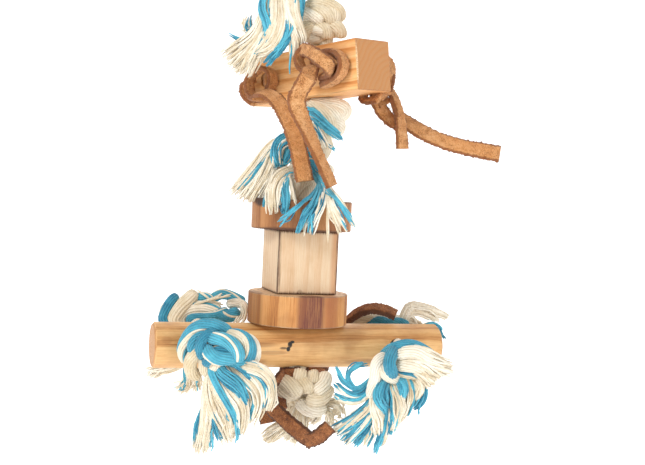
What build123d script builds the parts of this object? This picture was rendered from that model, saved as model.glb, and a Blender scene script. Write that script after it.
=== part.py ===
"""Hanging wooden chew toy for a bird cage.

A thick cotton rope hangs from a steel quick link. Stop knots in the rope hold a square block
with leather laces, a stack of disc, cube and disc, and a round perch at the bottom. Short
two-coloured ropes are tied on and drawn through the perch, and their ends are frayed.

Units are millimetres. +Z is up, +Y points away from the front of the toy, and the origin is the
point inside the top of the quick link where a cage bar carries it.
"""

import os
from math import radians, tan

from build123d import *

os.makedirs("parts", exist_ok=True)

# Rope and leather
ROPE_R = 6.0
ROPE_HOLE_R = 6.4
BEND_GAP = 0.3
LACE_WIDTH = 9.5
LACE_THICK = 2.6
LACE_CORE_R = 4.0

# Quick link: a steel ring with straight legs, open on the right, and a nut over the opening
LINK_WIRE_R = 2.0
LINK_INNER_WIDTH = 17.0
LINK_INNER_HEIGHT = 40.0
LINK_MOUTH_TOP = -21.3
LINK_MOUTH_BOTTOM = -29.8
NUT_BORE_R = 2.05
NUT_ACROSS_FLATS = 7.0
NUT_LENGTH = 12.0
NUT_BOTTOM = -31.2
LINK_BEND_R = LINK_INNER_WIDTH / 2 + LINK_WIRE_R
LINK_LOWER_WIRE_Z = -LINK_INNER_HEIGHT - LINK_WIRE_R

# Rope eye on the link, and the knots of the upper rope, all on the line X = Y = 0
EYE_R = 14.0
EYE_Z = LINK_LOWER_WIRE_Z - (EYE_R - ROPE_R - LINK_WIRE_R - BEND_GAP)
LOOP_KNOT_R = 14.0
LOOP_KNOT_TOP = EYE_Z - EYE_R - 3.0
LOOP_KNOT_BOTTOM = -77.0
TOP_BEND_Z = LOOP_KNOT_BOTTOM - ROPE_R - BEND_GAP
UPPER_TASSEL_TOP = -88.5
UPPER_TASSEL_BOTTOM = -103.8
UPPER_TASSEL_R = 13.0
UPPER_KNOT_R = 13.5
UPPER_KNOT_TOP = -104.5
UPPER_KNOT_BOTTOM = -131.0
LOWER_KNOT_R = 14.5
LOWER_KNOT_TOP = -160.6
LOWER_KNOT_BOTTOM = -178.0
UPPER_BEND = Vector(0, 0, LOWER_KNOT_BOTTOM - ROPE_R - BEND_GAP)

# Square block, drilled for the rope and for the two laces
BLOCK_LENGTH = 82.5
BLOCK_SIDE = 27.0
BLOCK_PLANE = Plane(Location((-2.2, 2.0, -145.7), (1.8, -3.2, -43.3)))
LEFT_LACE_X = -28.0
RIGHT_LACE_X = 22.5
FRONT_KNOT_DEPTH = 11.0

# Stack: disc, cube, disc and perch on one slightly leaning line through the cube's centre
STACK_PLANE = Plane(Location((-12.3, 0.0, -249.3), (2.0, 2.7, 17.5)))
CUBE_SIDE = 33.8
CUBE_HEIGHT = 34.2
DISC_R = 27.6
UPPER_DISC_THICK = 16.6
LOWER_DISC_THICK = 17.2
STACK_GAP = 0.2
STACK_TOP = CUBE_HEIGHT / 2 + STACK_GAP + UPPER_DISC_THICK
STACK_BOTTOM = -CUBE_HEIGHT / 2 - STACK_GAP - LOWER_DISC_THICK
LOWER_BEND = STACK_PLANE.from_local_coords(Vector(0, 0, STACK_TOP + ROPE_R + BEND_GAP))

# Perch, a peeled stick, with a rope drawn through it near each end
PERCH_R = 12.3
PERCH_LENGTH = 164.4
PERCH_X = 2.3
PERCH_Z = STACK_BOTTOM - BEND_GAP - PERCH_R
CROSS_ROPE_R = 5.0
CROSS_HOLE_R = 5.4
LEFT_ROPE_X = -48.2
RIGHT_ROPE_X = 56.3
FRONT_ROPE_KNOT_DEPTH = 20.0
BACK_ROPE_KNOT = (28.0, 16.0, 22.0)
CROSS_KNOT_Y = PERCH_R + 0.4

# Knot under the perch, and the lace tied round the rope above it
BOTTOM_LACE_TOP = PERCH_Z - PERCH_R - 0.8
BOTTOM_LACE_HEIGHT = 5.0
BOTTOM_KNOT_TOP = BOTTOM_LACE_TOP - BOTTOM_LACE_HEIGHT - 0.2
BOTTOM_KNOT_HEIGHT = 22.0
BOTTOM_KNOT_R = 15.0


def save(part, name):
    """Labels a finished sub-part and writes its STEP file."""
    part.label = name
    export_step(part, f"parts/{name}.step")


def across(direction, axis):
    """The unit vector nearest to direction that is square to axis."""
    direction = Vector(*direction)
    return (direction - axis * direction.dot(axis)).normalized()


def bend_radii(points):
    """The largest tidy fillet at each corner: 0.45 of the shorter run over tan(half the turn)."""
    runs = [Vector(*b) - Vector(*a) for a, b in zip(points, points[1:])]
    return [
        0.45 * min(a.length, b.length) / tan(radians(a.get_angle(b)) / 2)
        for a, b in zip(runs, runs[1:])
    ]


def round_knot(name, plane, radius, top, bottom, bore=None):
    """A knot as a round lump on the rope's line, bored where another rope runs through it."""
    height = top - bottom
    with BuildPart(plane.offset(bottom)) as knot:
        Cylinder(radius, height, align=(Align.CENTER, Align.CENTER, Align.MIN))
        fillet(knot.edges().filter_by(GeomType.CIRCLE), min(radius - ROPE_R - 0.6, 0.47 * height))
        if bore:
            with Locations((0, 0, height / 2)):
                Hole(bore, depth=height)
    save(knot.part, name)


def lump(name, plane, size, centre, rounding):
    """A knot as a rounded block in the coordinates of plane."""
    with BuildPart(plane) as knot:
        with Locations(centre):
            Box(*size)
        fillet(knot.edges(), rounding)
    save(knot.part, name)


def rope_run(name, start, end, radius=ROPE_R, round_start=False, round_end=False):
    """A straight stretch of rope, with a round end where it bends against its neighbour."""
    start, end = Vector(*start), Vector(*end)
    with BuildPart(Plane(origin=start, z_dir=end - start)) as run:
        length = (end - start).length
        Cylinder(radius, length, align=(Align.CENTER, Align.CENTER, Align.MIN))
        if round_start:
            Sphere(radius)
        if round_end:
            with Locations((0, 0, length)):
                Sphere(radius)
    save(run.part, name)


def frayed_end(name, stations, wide=(1, 0, 0)):
    """A bundle of loose yarns as one smooth solid through ellipses.

    Each station is (x, y, z, half width, half depth); the widths lie along wide.
    """
    points = [Vector(*station[:3]) for station in stations]
    last = len(points) - 1
    with BuildPart() as bundle:
        for index, (point, station) in enumerate(zip(points, stations)):
            along = (points[min(index + 1, last)] - points[max(index - 1, 0)]).normalized()
            with BuildSketch(Plane(origin=point, x_dir=across(wide, along), z_dir=along)):
                Ellipse(station[3], station[4])
        loft()
    save(bundle.part, name)


def lace_run(name, points, wide):
    """A leather strip along a route of straight runs joined by tangent arcs."""
    radii = bend_radii(points)
    with BuildPart() as lace:
        with BuildLine() as route:
            FilletPolyline(*points, radius=radii)
        along = (route.line % 0).normalized()
        with BuildSketch(Plane(origin=route.line @ 0, x_dir=across(wide, along), z_dir=along)):
            Rectangle(LACE_WIDTH, LACE_THICK)
        sweep()
    length = sum(edge.length for edge in route.line.edges())
    filled = lace.part.volume / (LACE_WIDTH * LACE_THICK * length)
    print(name, "radii", [round(radius, 1) for radius in radii], "length", round(length, 1),
          "filled", round(filled, 3))
    save(lace.part, name)


# ------------------------------------------------------------------ quick link and its nut
LEG_TOP = -LINK_INNER_WIDTH / 2
LEG_BOTTOM = -LINK_INNER_HEIGHT + LINK_INNER_WIDTH / 2
with BuildPart() as quick_link:
    with BuildLine() as link_route:
        lower_right = Line((LINK_BEND_R, 0, LINK_MOUTH_BOTTOM), (LINK_BEND_R, 0, LEG_BOTTOM))
        lower_bend = ThreePointArc(
            lower_right @ 1, (0, 0, LEG_BOTTOM - LINK_BEND_R), (-LINK_BEND_R, 0, LEG_BOTTOM))
        left_leg = Line(lower_bend @ 1, (-LINK_BEND_R, 0, LEG_TOP))
        upper_bend = ThreePointArc(
            left_leg @ 1, (0, 0, LEG_TOP + LINK_BEND_R), (LINK_BEND_R, 0, LEG_TOP))
        Line(upper_bend @ 1, (LINK_BEND_R, 0, LINK_MOUTH_TOP))
    with BuildSketch(Plane(origin=link_route.line @ 0, z_dir=link_route.line % 0)):
        Circle(LINK_WIRE_R)
    sweep()
save(quick_link.part, "quick_link")

with BuildPart() as quick_link_nut:
    with BuildSketch(Plane((LINK_BEND_R, 0, NUT_BOTTOM))):
        RegularPolygon(NUT_ACROSS_FLATS / 2, 6, major_radius=False, rotation=30)
        Circle(NUT_BORE_R, mode=Mode.SUBTRACT)
    extrude(amount=NUT_LENGTH)
save(quick_link_nut.part, "quick_link_nut")

# ------------------------------------------------------------------ upper rope
EYE_PLANE = Plane(origin=(0, 0, EYE_Z), x_dir=(0, 1, 0), z_dir=(1, 0, 0))
with BuildPart(EYE_PLANE) as rope_eye:
    Torus(EYE_R, ROPE_R)
save(rope_eye.part, "rope_eye")

with BuildPart(Plane.XY.offset(LOOP_KNOT_BOTTOM)) as loop_knot:
    knot_height = LOOP_KNOT_TOP - LOOP_KNOT_BOTTOM
    Cylinder(LOOP_KNOT_R, knot_height, align=(Align.CENTER, Align.CENTER, Align.MIN))
    fillet(loop_knot.edges().filter_by(GeomType.CIRCLE), 0.45 * knot_height)
save(loop_knot.part - EYE_PLANE.location * Torus(EYE_R, ROPE_R + 0.1), "loop_knot")

rope_run("top_rope", (0, 0, TOP_BEND_Z), (0, 0, UPPER_KNOT_TOP), round_start=True)
round_knot("upper_tassel_knot", Plane.XY, UPPER_TASSEL_R, UPPER_TASSEL_TOP,
           UPPER_TASSEL_BOTTOM, bore=ROPE_R)
round_knot("upper_stop_knot", Plane.XY, UPPER_KNOT_R, UPPER_KNOT_TOP, UPPER_KNOT_BOTTOM)
rope_run("block_rope", (0, 0, UPPER_KNOT_BOTTOM), (0, 0, LOWER_KNOT_TOP))
round_knot("lower_stop_knot", Plane.XY, LOWER_KNOT_R, LOWER_KNOT_TOP, LOWER_KNOT_BOTTOM)
frayed_end("upper_tassel_ends", [
    (-17.5, -13, -97, 7, 5),
    (-28, -13, -116, 14, 6.5),
    (-36, -10, -143, 18, 6),
])

# ------------------------------------------------------------------ block and its laces
with BuildPart(BLOCK_PLANE) as upper_block:
    Box(BLOCK_LENGTH, BLOCK_SIDE, BLOCK_SIDE)
    fillet(upper_block.edges(), 0.8)
    with Locations(*[Location((x, 0, 0), (90, 0, 0)) for x in (LEFT_LACE_X, RIGHT_LACE_X)]):
        Hole(LACE_CORE_R + 0.1, depth=BLOCK_SIDE)
rope_bore = Pos(0, 0, BLOCK_PLANE.origin.Z) * Cylinder(ROPE_HOLE_R, 2 * BLOCK_SIDE)
drilled_block = upper_block.part - rope_bore
save(drilled_block, "upper_block")

FACE_Y = BLOCK_SIDE / 2
for side, lace_x, front_size, front_drop in (
        ("left", LEFT_LACE_X, (13, FRONT_KNOT_DEPTH, 21), -3),
        ("right", RIGHT_LACE_X, (20, FRONT_KNOT_DEPTH, 20), 2)):
    core_ends = [BLOCK_PLANE.from_local_coords(Vector(lace_x, y, 0)) for y in (-FACE_Y, FACE_Y)]
    rope_run(f"{side}_lace_core", *core_ends, radius=LACE_CORE_R)
    lump(f"{side}_lace_front_knot", BLOCK_PLANE, front_size,
         (lace_x, -FACE_Y - FRONT_KNOT_DEPTH / 2, front_drop), 3.5)
lump("left_lace_back_knot", BLOCK_PLANE, (15, 9, 16), (LEFT_LACE_X, FACE_Y + 4.5, 0), 3)
lump("right_lace_back_knot", BLOCK_PLANE, (21, 11, 26), (RIGHT_LACE_X + 3, FACE_Y + 5.5, -5), 3.5)

lace_run("left_lace_tail", [
    (-33.5, -9.5, -158), (-23, -15.5, -167), (-16, -17.5, -183), (-12.4, -18, -197), (-9.8, -18, -208),
], wide=(0.6, 0, 1))
lace_run("right_lace_front_tail", [
    (-6, -37.5, -154), (-11.5, -36.5, -164), (-7.2, -34.5, -178), (-1.7, -33, -193), (4.3, -32, -208.5),
], wide=(0, 1, 0))
lace_run("right_lace_short_tail", [
    (38.5, 3, -164.5), (41.5, 1, -171), (43.5, 0.5, -179), (44.2, 0.5, -187),
], wide=(1, 0.2, 0))
lace_run("right_lace_long_tail", [
    (43, 8.5, -168), (55, 8, -176.5), (71, 7, -183.5), (86, 6, -187), (100, 5, -189.5),
], wide=(0, 0.3, 1))

# ------------------------------------------------------------------ middle rope and its tassel
rope_run("middle_rope", UPPER_BEND, LOWER_BEND, round_start=True, round_end=True)
MIDDLE_MID = (UPPER_BEND + LOWER_BEND) / 2
MIDDLE_PLANE = Plane(origin=MIDDLE_MID, z_dir=UPPER_BEND - LOWER_BEND)
round_knot("middle_tassel_knot", MIDDLE_PLANE, 12.5, 7, -7, bore=ROPE_R)
frayed_end("middle_tassel_left_ends", [
    (-18.7, 1, -188, 4, 4), (-26, 0, -190, 7, 5), (-36, -2, -199, 8, 5), (-43, -4, -208, 8, 4),
], wide=(0.7, 0, 0.7))
frayed_end("middle_tassel_front_ends", [
    (-24, -13, -204, 4.5, 3), (-26, -23, -209.5, 6, 2), (-26, -31.5, -212.5, 7, 2),
    (-25, -33.5, -222, 8, 2),
])
frayed_end("middle_tassel_right_ends", [
    (0, -15, -205, 5, 2.5), (1.5, -22, -210.2, 8, 2), (2.5, -31.5, -213.6, 11, 2), (3, -34, -222, 14, 2),
    (3, -34, -234, 15, 2),
])
frayed_end("middle_tassel_upper_ends", [
    (-3, -18, -167, 3, 2), (3, -19, -176, 6, 3), (9, -19, -186, 8, 3),
])

# ------------------------------------------------------------------ stack on the lower rope
with BuildPart(STACK_PLANE) as cube_block:
    Box(CUBE_SIDE, CUBE_SIDE, CUBE_HEIGHT)
    fillet(cube_block.edges(), 0.8)
    Hole(ROPE_HOLE_R, depth=CUBE_HEIGHT)
save(cube_block.part, "cube_block")

for disc_name, disc_top, thick in (
        ("upper_disc", STACK_TOP, UPPER_DISC_THICK),
        ("lower_disc", STACK_BOTTOM + LOWER_DISC_THICK, LOWER_DISC_THICK)):
    with BuildPart(STACK_PLANE.offset(disc_top - thick / 2)) as disc:
        Cylinder(DISC_R, thick)
        fillet(disc.edges(), 0.8)
        Hole(ROPE_HOLE_R, depth=thick)
    save(disc.part, disc_name)

STACK_UP = STACK_PLANE.z_dir
stack_point = STACK_PLANE.from_local_coords
rope_run("stack_rope", stack_point(Vector(0, 0, STACK_TOP)), stack_point(Vector(0, 0, BOTTOM_KNOT_TOP)))
round_knot("bottom_knot", Plane(origin=stack_point(Vector(2, 0, 0)), z_dir=STACK_UP), BOTTOM_KNOT_R,
           BOTTOM_KNOT_TOP, BOTTOM_KNOT_TOP - BOTTOM_KNOT_HEIGHT)
frayed_end("bottom_rope_ends", [
    (-13.5, 3, -338.5, 7, 6), (-14, 3, -344, 12, 7), (-15, 3, -351, 17, 8),
])

# ------------------------------------------------------------------ lace round the rope's end
with BuildPart(STACK_PLANE.offset(BOTTOM_LACE_TOP - BOTTOM_LACE_HEIGHT)) as bottom_lace_wrap:
    Cylinder(ROPE_R + LACE_THICK, BOTTOM_LACE_HEIGHT, align=(Align.CENTER, Align.CENTER, Align.MIN))
    Cylinder(ROPE_R, BOTTOM_LACE_HEIGHT, align=(Align.CENTER, Align.CENTER, Align.MIN),
             mode=Mode.SUBTRACT)
save(bottom_lace_wrap.part, "bottom_lace_wrap")
lace_run("bottom_lace_upper_tail", [
    (3, 26.5, -306), (7, 30.5, -297), (13, 30, -287), (22, 25.5, -279), (33, 22, -276.5), (43, 21, -281),
], wide=(0, 1, 0.2))
lace_run("bottom_lace_strap", [
    (-30, -19, -325), (-19, -21, -333), (-9, -22, -340.5), (-1, -22, -344.5), (5, -22, -339.5),
], wide=(0, 1, 0.6))
lace_run("bottom_lace_short_tail", [
    (-27, -8, -315), (-31, -12, -323), (-29, -14, -333),
], wide=(0.5, 1, 0))

# ------------------------------------------------------------------ perch and the ropes through it
with BuildPart(STACK_PLANE) as perch:
    with Locations(Location((PERCH_X, 0, PERCH_Z), (0, 90, 0))):
        Cylinder(PERCH_R, PERCH_LENGTH)
    chamfer(perch.edges().filter_by(GeomType.CIRCLE), 1.2)
    with Locations(*[Location((x, 0, PERCH_Z), (90, 0, 0)) for x in (LEFT_ROPE_X, RIGHT_ROPE_X)]):
        Hole(CROSS_HOLE_R, depth=2 * PERCH_R)
    with Locations((0, 0, PERCH_Z)):
        Hole(ROPE_HOLE_R, depth=2 * PERCH_R)
save(perch.part, "perch")

for side, rope_x, front_size, front_drop in (
        ("left", LEFT_ROPE_X, (38, FRONT_ROPE_KNOT_DEPTH, 28), 0),
        ("right", RIGHT_ROPE_X, (32, FRONT_ROPE_KNOT_DEPTH, 24), -6)):
    ends = [stack_point(Vector(rope_x, y, PERCH_Z)) for y in (-CROSS_KNOT_Y, CROSS_KNOT_Y)]
    rope_run(f"{side}_cross_rope", *ends, radius=CROSS_ROPE_R)
    lump(f"{side}_front_knot", STACK_PLANE, front_size,
         (rope_x, -CROSS_KNOT_Y - FRONT_ROPE_KNOT_DEPTH / 2, PERCH_Z + front_drop), 8)
    lump(f"{side}_back_knot", STACK_PLANE, BACK_ROPE_KNOT,
         (rope_x, CROSS_KNOT_Y + BACK_ROPE_KNOT[1] / 2, PERCH_Z), 7)

frayed_end("left_front_ends", [
    (-52, -38, -312, 8, 7), (-47, -38, -330, 15, 9), (-49, -37, -352, 13, 8),
])
frayed_end("left_back_upper_ends", [
    (-73, 13, -278, 6, 6), (-66, 13, -271, 7, 6), (-54, 13, -270, 7, 6), (-43, 11, -277, 6, 5),
], wide=(0, 1, 0))
frayed_end("left_back_lower_ends", [
    (-72, 12, -309, 7, 6), (-78, 12, -317, 12, 6), (-80, 11, -326, 14, 5),
])
frayed_end("right_front_ends", [
    (41, -13, -321, 10, 7), (34, -14, -335, 17, 8), (27, -15, -352, 23, 6),
])
frayed_end("right_back_ends", [
    (37, 36, -281, 5, 5), (46, 37, -276, 6, 6), (58, 37, -276, 6, 6), (71, 36, -282, 6, 5),
], wide=(0, 1, 0))
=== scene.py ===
"""Looks of the hanging bird-cage chew toy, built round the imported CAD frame.

Lengths in the tables are millimetres in the CAD's frame, and MM turns them into metres.
"""

import math

import bpy
import numpy as np
from mathutils import Matrix, Vector


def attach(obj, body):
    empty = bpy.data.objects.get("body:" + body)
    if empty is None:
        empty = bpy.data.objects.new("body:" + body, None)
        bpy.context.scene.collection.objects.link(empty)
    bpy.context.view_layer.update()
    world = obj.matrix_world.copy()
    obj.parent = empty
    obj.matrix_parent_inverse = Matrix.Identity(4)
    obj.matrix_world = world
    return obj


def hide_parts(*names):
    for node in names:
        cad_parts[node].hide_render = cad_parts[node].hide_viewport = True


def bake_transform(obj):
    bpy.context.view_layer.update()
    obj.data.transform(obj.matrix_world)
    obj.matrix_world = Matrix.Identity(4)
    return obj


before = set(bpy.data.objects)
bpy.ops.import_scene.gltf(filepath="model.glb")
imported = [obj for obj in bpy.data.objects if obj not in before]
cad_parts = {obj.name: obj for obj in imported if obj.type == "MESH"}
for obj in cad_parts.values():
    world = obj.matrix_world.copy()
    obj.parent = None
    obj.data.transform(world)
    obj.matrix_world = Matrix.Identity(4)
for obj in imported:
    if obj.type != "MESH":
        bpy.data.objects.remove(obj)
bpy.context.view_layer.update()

MM = 0.001
ROPE_D = 12.0
LACE_WIDTH = 9.5
LACE_THICK = 2.6
YARN_R = 0.5
STRAND_UV = 2.0  # UV X of a whole strand starts here, and that of a single yarn stays below it

# ------------------------------------------------------------------ camera, light and stage
CAMERA_DISTANCE = 556.0
CAMERA_X = 0.5
CAMERA_Z = -235.5
SENSOR = 36.0
LENS = 55.8
SHIFT_Y = 0.0054
FLOOR_Z = -430.0


def add_camera():
    data = bpy.data.cameras.new("camera")
    data.sensor_width = SENSOR
    data.lens = LENS
    data.shift_y = SHIFT_Y
    data.clip_start = 0.01
    camera = bpy.data.objects.new("camera", data)
    camera.location = (CAMERA_X * MM, -CAMERA_DISTANCE * MM, CAMERA_Z * MM)
    camera.rotation_euler = (math.pi / 2, 0, 0)
    bpy.context.collection.objects.link(camera)
    bpy.context.scene.camera = camera


def add_area_light(name, position, target, size, power):
    data = bpy.data.lights.new(name, "AREA")
    data.shape = "DISK"
    data.size = size
    data.energy = power
    light = bpy.data.objects.new(name, data)
    light.location = position
    direction = Vector(target) - Vector(position)
    light.rotation_euler = direction.to_track_quat("-Z", "Y").to_euler()
    bpy.context.collection.objects.link(light)


def add_stage():
    """A pale floor that curves up into a backdrop far behind the toy."""
    across, reach, rise, bend = 4.0, 2.2, 3.0, 0.8
    profile = [(-2.5, 0.0), (reach - bend, 0.0)]
    profile += [(reach - bend + bend * math.sin(a), bend - bend * math.cos(a))
                for a in np.linspace(0.1, math.pi / 2, 12)]
    profile.append((reach, rise))
    floor_z = FLOOR_Z * MM
    vertices = [(x, y, floor_z + z) for y, z in profile for x in (-across, across)]
    faces = [(2 * i, 2 * i + 1, 2 * i + 3, 2 * i + 2) for i in range(len(profile) - 1)]
    mesh = bpy.data.meshes.new("stage")
    mesh.from_pydata(vertices, [], faces)
    mesh.polygons.foreach_set("use_smooth", [True] * len(faces))
    stage = bpy.data.objects.new("stage", mesh)
    bpy.context.collection.objects.link(stage)
    paper = bpy.data.materials.new("stage_paper")
    paper.use_nodes = True
    shader = paper.node_tree.nodes["Principled BSDF"]
    shader.inputs["Base Color"].default_value = (0.93, 0.93, 0.93, 1)
    shader.inputs["Roughness"].default_value = 0.95
    shader.inputs["Emission Color"].default_value = (1, 1, 1, 1)
    shader.inputs["Emission Strength"].default_value = 0.6
    mesh.materials.append(paper)


add_camera()
middle = (0, 0, -0.22)
add_area_light("key", (-0.75, -0.95, 0.55), middle, 0.55, 11)
add_area_light("fill", (0.9, -0.9, 0.0), middle, 0.9, 4)
add_area_light("rim", (0.3, 0.9, 0.6), middle, 0.8, 4)
bpy.context.scene.view_settings.view_transform = "Standard"
world = bpy.data.worlds.new("world")
bpy.context.scene.world = world
world.use_nodes = True
world.node_tree.nodes["Background"].inputs["Color"].default_value = (1, 1, 1, 1)
world.node_tree.nodes["Background"].inputs["Strength"].default_value = 0.55
add_stage()


# ------------------------------------------------------------------ node helpers for materials
class Nodes:
    """A material and short ways to add nodes to it."""

    def __init__(self, name, roughness=0.8, sheen=0.0):
        self.material = bpy.data.materials.new(name)
        self.material.use_nodes = True
        self.tree = self.material.node_tree
        self.shader = self.tree.nodes["Principled BSDF"]
        self.shader.inputs["Roughness"].default_value = roughness
        self.shader.inputs["Sheen Weight"].default_value = sheen
        self.shader.inputs["Sheen Roughness"].default_value = 0.5

    def add(self, kind, inputs=(), **settings):
        node = self.tree.nodes.new(kind)
        for key, value in settings.items():
            setattr(node, key, value)
        for key, value in dict(inputs).items():
            self.feed(node.inputs[key], value)
        return node

    def feed(self, socket, value):
        if isinstance(value, bpy.types.NodeSocket):
            self.tree.links.new(value, socket)
        else:
            socket.default_value = value

    def math(self, operation, *values):
        node = self.add("ShaderNodeMath", operation=operation)
        for index, value in enumerate(values):
            self.feed(node.inputs[index], value)
        return node.outputs[0]

    def position(self):
        return self.add("ShaderNodeTexCoord").outputs["Object"]

    def turned(self, vector, matrix, origin):
        """vector in the axes of matrix about origin, as three dot products."""
        centred = self.add("ShaderNodeVectorMath", {0: vector, 1: origin}, operation="SUBTRACT")
        sums = []
        for column in range(3):
            axis = tuple(matrix[row][column] for row in range(3))
            sums.append(self.add("ShaderNodeVectorMath", {0: centred.outputs[0], 1: axis},
                                 operation="DOT_PRODUCT").outputs["Value"])
        return sums

    def vector(self, x, y, z):
        return self.add("ShaderNodeCombineXYZ", {0: x, 1: y, 2: z}).outputs[0]

    def noise(self, vector, scale, detail=3.0, roughness=0.55):
        return self.add("ShaderNodeTexNoise", {
            "Vector": vector, "Scale": scale, "Detail": detail, "Roughness": roughness,
        }).outputs["Fac"]

    def ramp(self, value, *stops):
        """Colours at places along 0 to 1; a stop is (place, (r, g, b))."""
        node = self.add("ShaderNodeValToRGB", {"Fac": value})
        elements = node.color_ramp.elements
        while len(elements) < len(stops):
            elements.new(0.5)
        for element, (place, colour) in zip(elements, stops):
            element.position = place
            element.color = (*colour, 1)
        return node.outputs["Color"]

    def step(self, value, low, high):
        """0 below low, 1 above high and smooth between them."""
        return self.add("ShaderNodeMapRange", {
            "Value": value, "From Min": low, "From Max": high}, interpolation_type="SMOOTHSTEP"
        ).outputs["Result"]

    def fall(self, value, low, high):
        """1 below low, 0 above high and smooth between them."""
        return self.math("SUBTRACT", 1.0, self.step(value, low, high))

    def length_of(self, a, b):
        squares = [self.math("MULTIPLY", value, value) for value in (a, b)]
        return self.math("SQRT", self.math("ADD", *squares))

    def mix(self, factor, first, second):
        node = self.add("ShaderNodeMix", data_type="RGBA")
        self.feed(node.inputs["Factor"], factor)
        for socket, value in ((node.inputs["A"], first), (node.inputs["B"], second)):
            self.feed(socket, (*value, 1) if isinstance(value, tuple) and len(value) == 3 else value)
        return node.outputs["Result"]

    def bump(self, height, strength, distance):
        node = self.add("ShaderNodeBump", {
            "Height": height, "Strength": strength, "Distance": distance})
        self.tree.links.new(node.outputs["Normal"], self.shader.inputs["Normal"])

    def colour(self, value):
        self.feed(self.shader.inputs["Base Color"], value)
        return self.material


def srgb(text):
    """A linear colour from a six-digit hexadecimal one."""
    channels = [int(text[i:i + 2], 16) / 255 for i in (0, 2, 4)]
    return tuple(c / 12.92 if c <= 0.04045 else ((c + 0.055) / 1.055) ** 2.4 for c in channels)


def cotton(name, pale, deep, groove_shade):
    """Spun cotton: each yarn a little different, a fine ply, and painted shade in a strand's grooves."""
    pale, deep, groove_shade = map(srgb, (pale, deep, groove_shade))
    n = Nodes(name, roughness=0.92, sheen=0.3)
    island = n.add("ShaderNodeNewGeometry").outputs["Random Per Island"]
    place = n.position()
    tone = n.math("MULTIPLY_ADD", n.noise(place, 240, 3), 0.5, n.math("MULTIPLY", island, 0.5))
    colour = n.ramp(tone, (0.2, deep), (0.7, pale))
    uv = n.add("ShaderNodeSeparateXYZ", {0: n.add("ShaderNodeTexCoord").outputs["UV"]})
    around, along = uv.outputs["X"], uv.outputs["Y"]
    edge = n.math("ABSOLUTE", n.math("SUBTRACT", n.math("FRACT", around), 0.5))
    in_strand = n.math("GREATER_THAN", around, STRAND_UV - 0.5)
    # painted shade: the edges of each yarn inside a strand, along the grooves between yarns, are mixed
    # unevenly towards the darker third colour
    dark = n.math("MULTIPLY", n.step(edge, 0.25, 0.5), in_strand)
    uneven = n.step(n.noise(place, 150, 3), 0.35, 0.65)
    shade = n.math("MULTIPLY", dark, n.math("MULTIPLY_ADD", uneven, 0.45, 0.2))
    colour = n.mix(shade, colour, groove_shade)
    turns = n.math("ADD", n.math("MULTIPLY", along, 3.6), n.math("MULTIPLY", around, 6.283))
    ply = n.math("SINE", turns)
    fuzz = n.noise(place, 2400, 3)
    height = n.math("SUBTRACT", n.math("MULTIPLY_ADD", ply, 0.35, fuzz), n.math("MULTIPLY", dark, 0.8))
    n.bump(height, 0.5, 0.0004)
    return n.colour(colour)


# The third colour of each cotton is painted shade for the grooves between yarns.
CREAM = cotton("cream_cotton", "F5EDDC", "D3C09D", "B8A27B")
BLUE = cotton("blue_cotton", "57B4CA", "167290", "0A3D50")
COTTONS = [CREAM, BLUE]


def suede(name, pale, middle_tone, dark, warm):
    """Rough split leather: mottled nap with darker fibres, darkest along the cut edges."""
    pale, middle_tone, dark, warm = map(srgb, (pale, middle_tone, dark, warm))
    n = Nodes(name, roughness=0.95, sheen=0.12)
    place = n.position()
    mottle = n.noise(place, 260, 5, 0.7)
    fibre = n.noise(place, 1700, 4, 0.8)
    tone = n.math("MULTIPLY_ADD", mottle, 0.4, n.math("MULTIPLY", fibre, 0.6))
    colour = n.ramp(tone, (0.38, dark), (0.5, middle_tone), (0.6, pale))
    uv = n.add("ShaderNodeTexCoord").outputs["UV"]
    edge = n.add("ShaderNodeSeparateXYZ", {0: uv}).outputs["X"]
    patches = n.step(n.noise(place, 45, 3), 0.4, 0.7)
    colour = n.mix(n.math("MULTIPLY", patches, 0.35), colour, warm)
    colour = n.mix(n.math("MULTIPLY", edge, n.math("MULTIPLY_ADD", fibre, 0.9, 0.35)), colour, dark)
    n.bump(n.math("ADD", fibre, mottle), 0.9, 0.0012)
    return n.colour(colour)


TAN_LEATHER = "tan_leather", suede("tan_suede", "F6C48E", "E09C5C", "8A4A20", "E6954A")
BROWN_LEATHER = "brown_leather", suede("brown_suede", "C4804C", "94592F", "4C2813", "A8602C")


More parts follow.
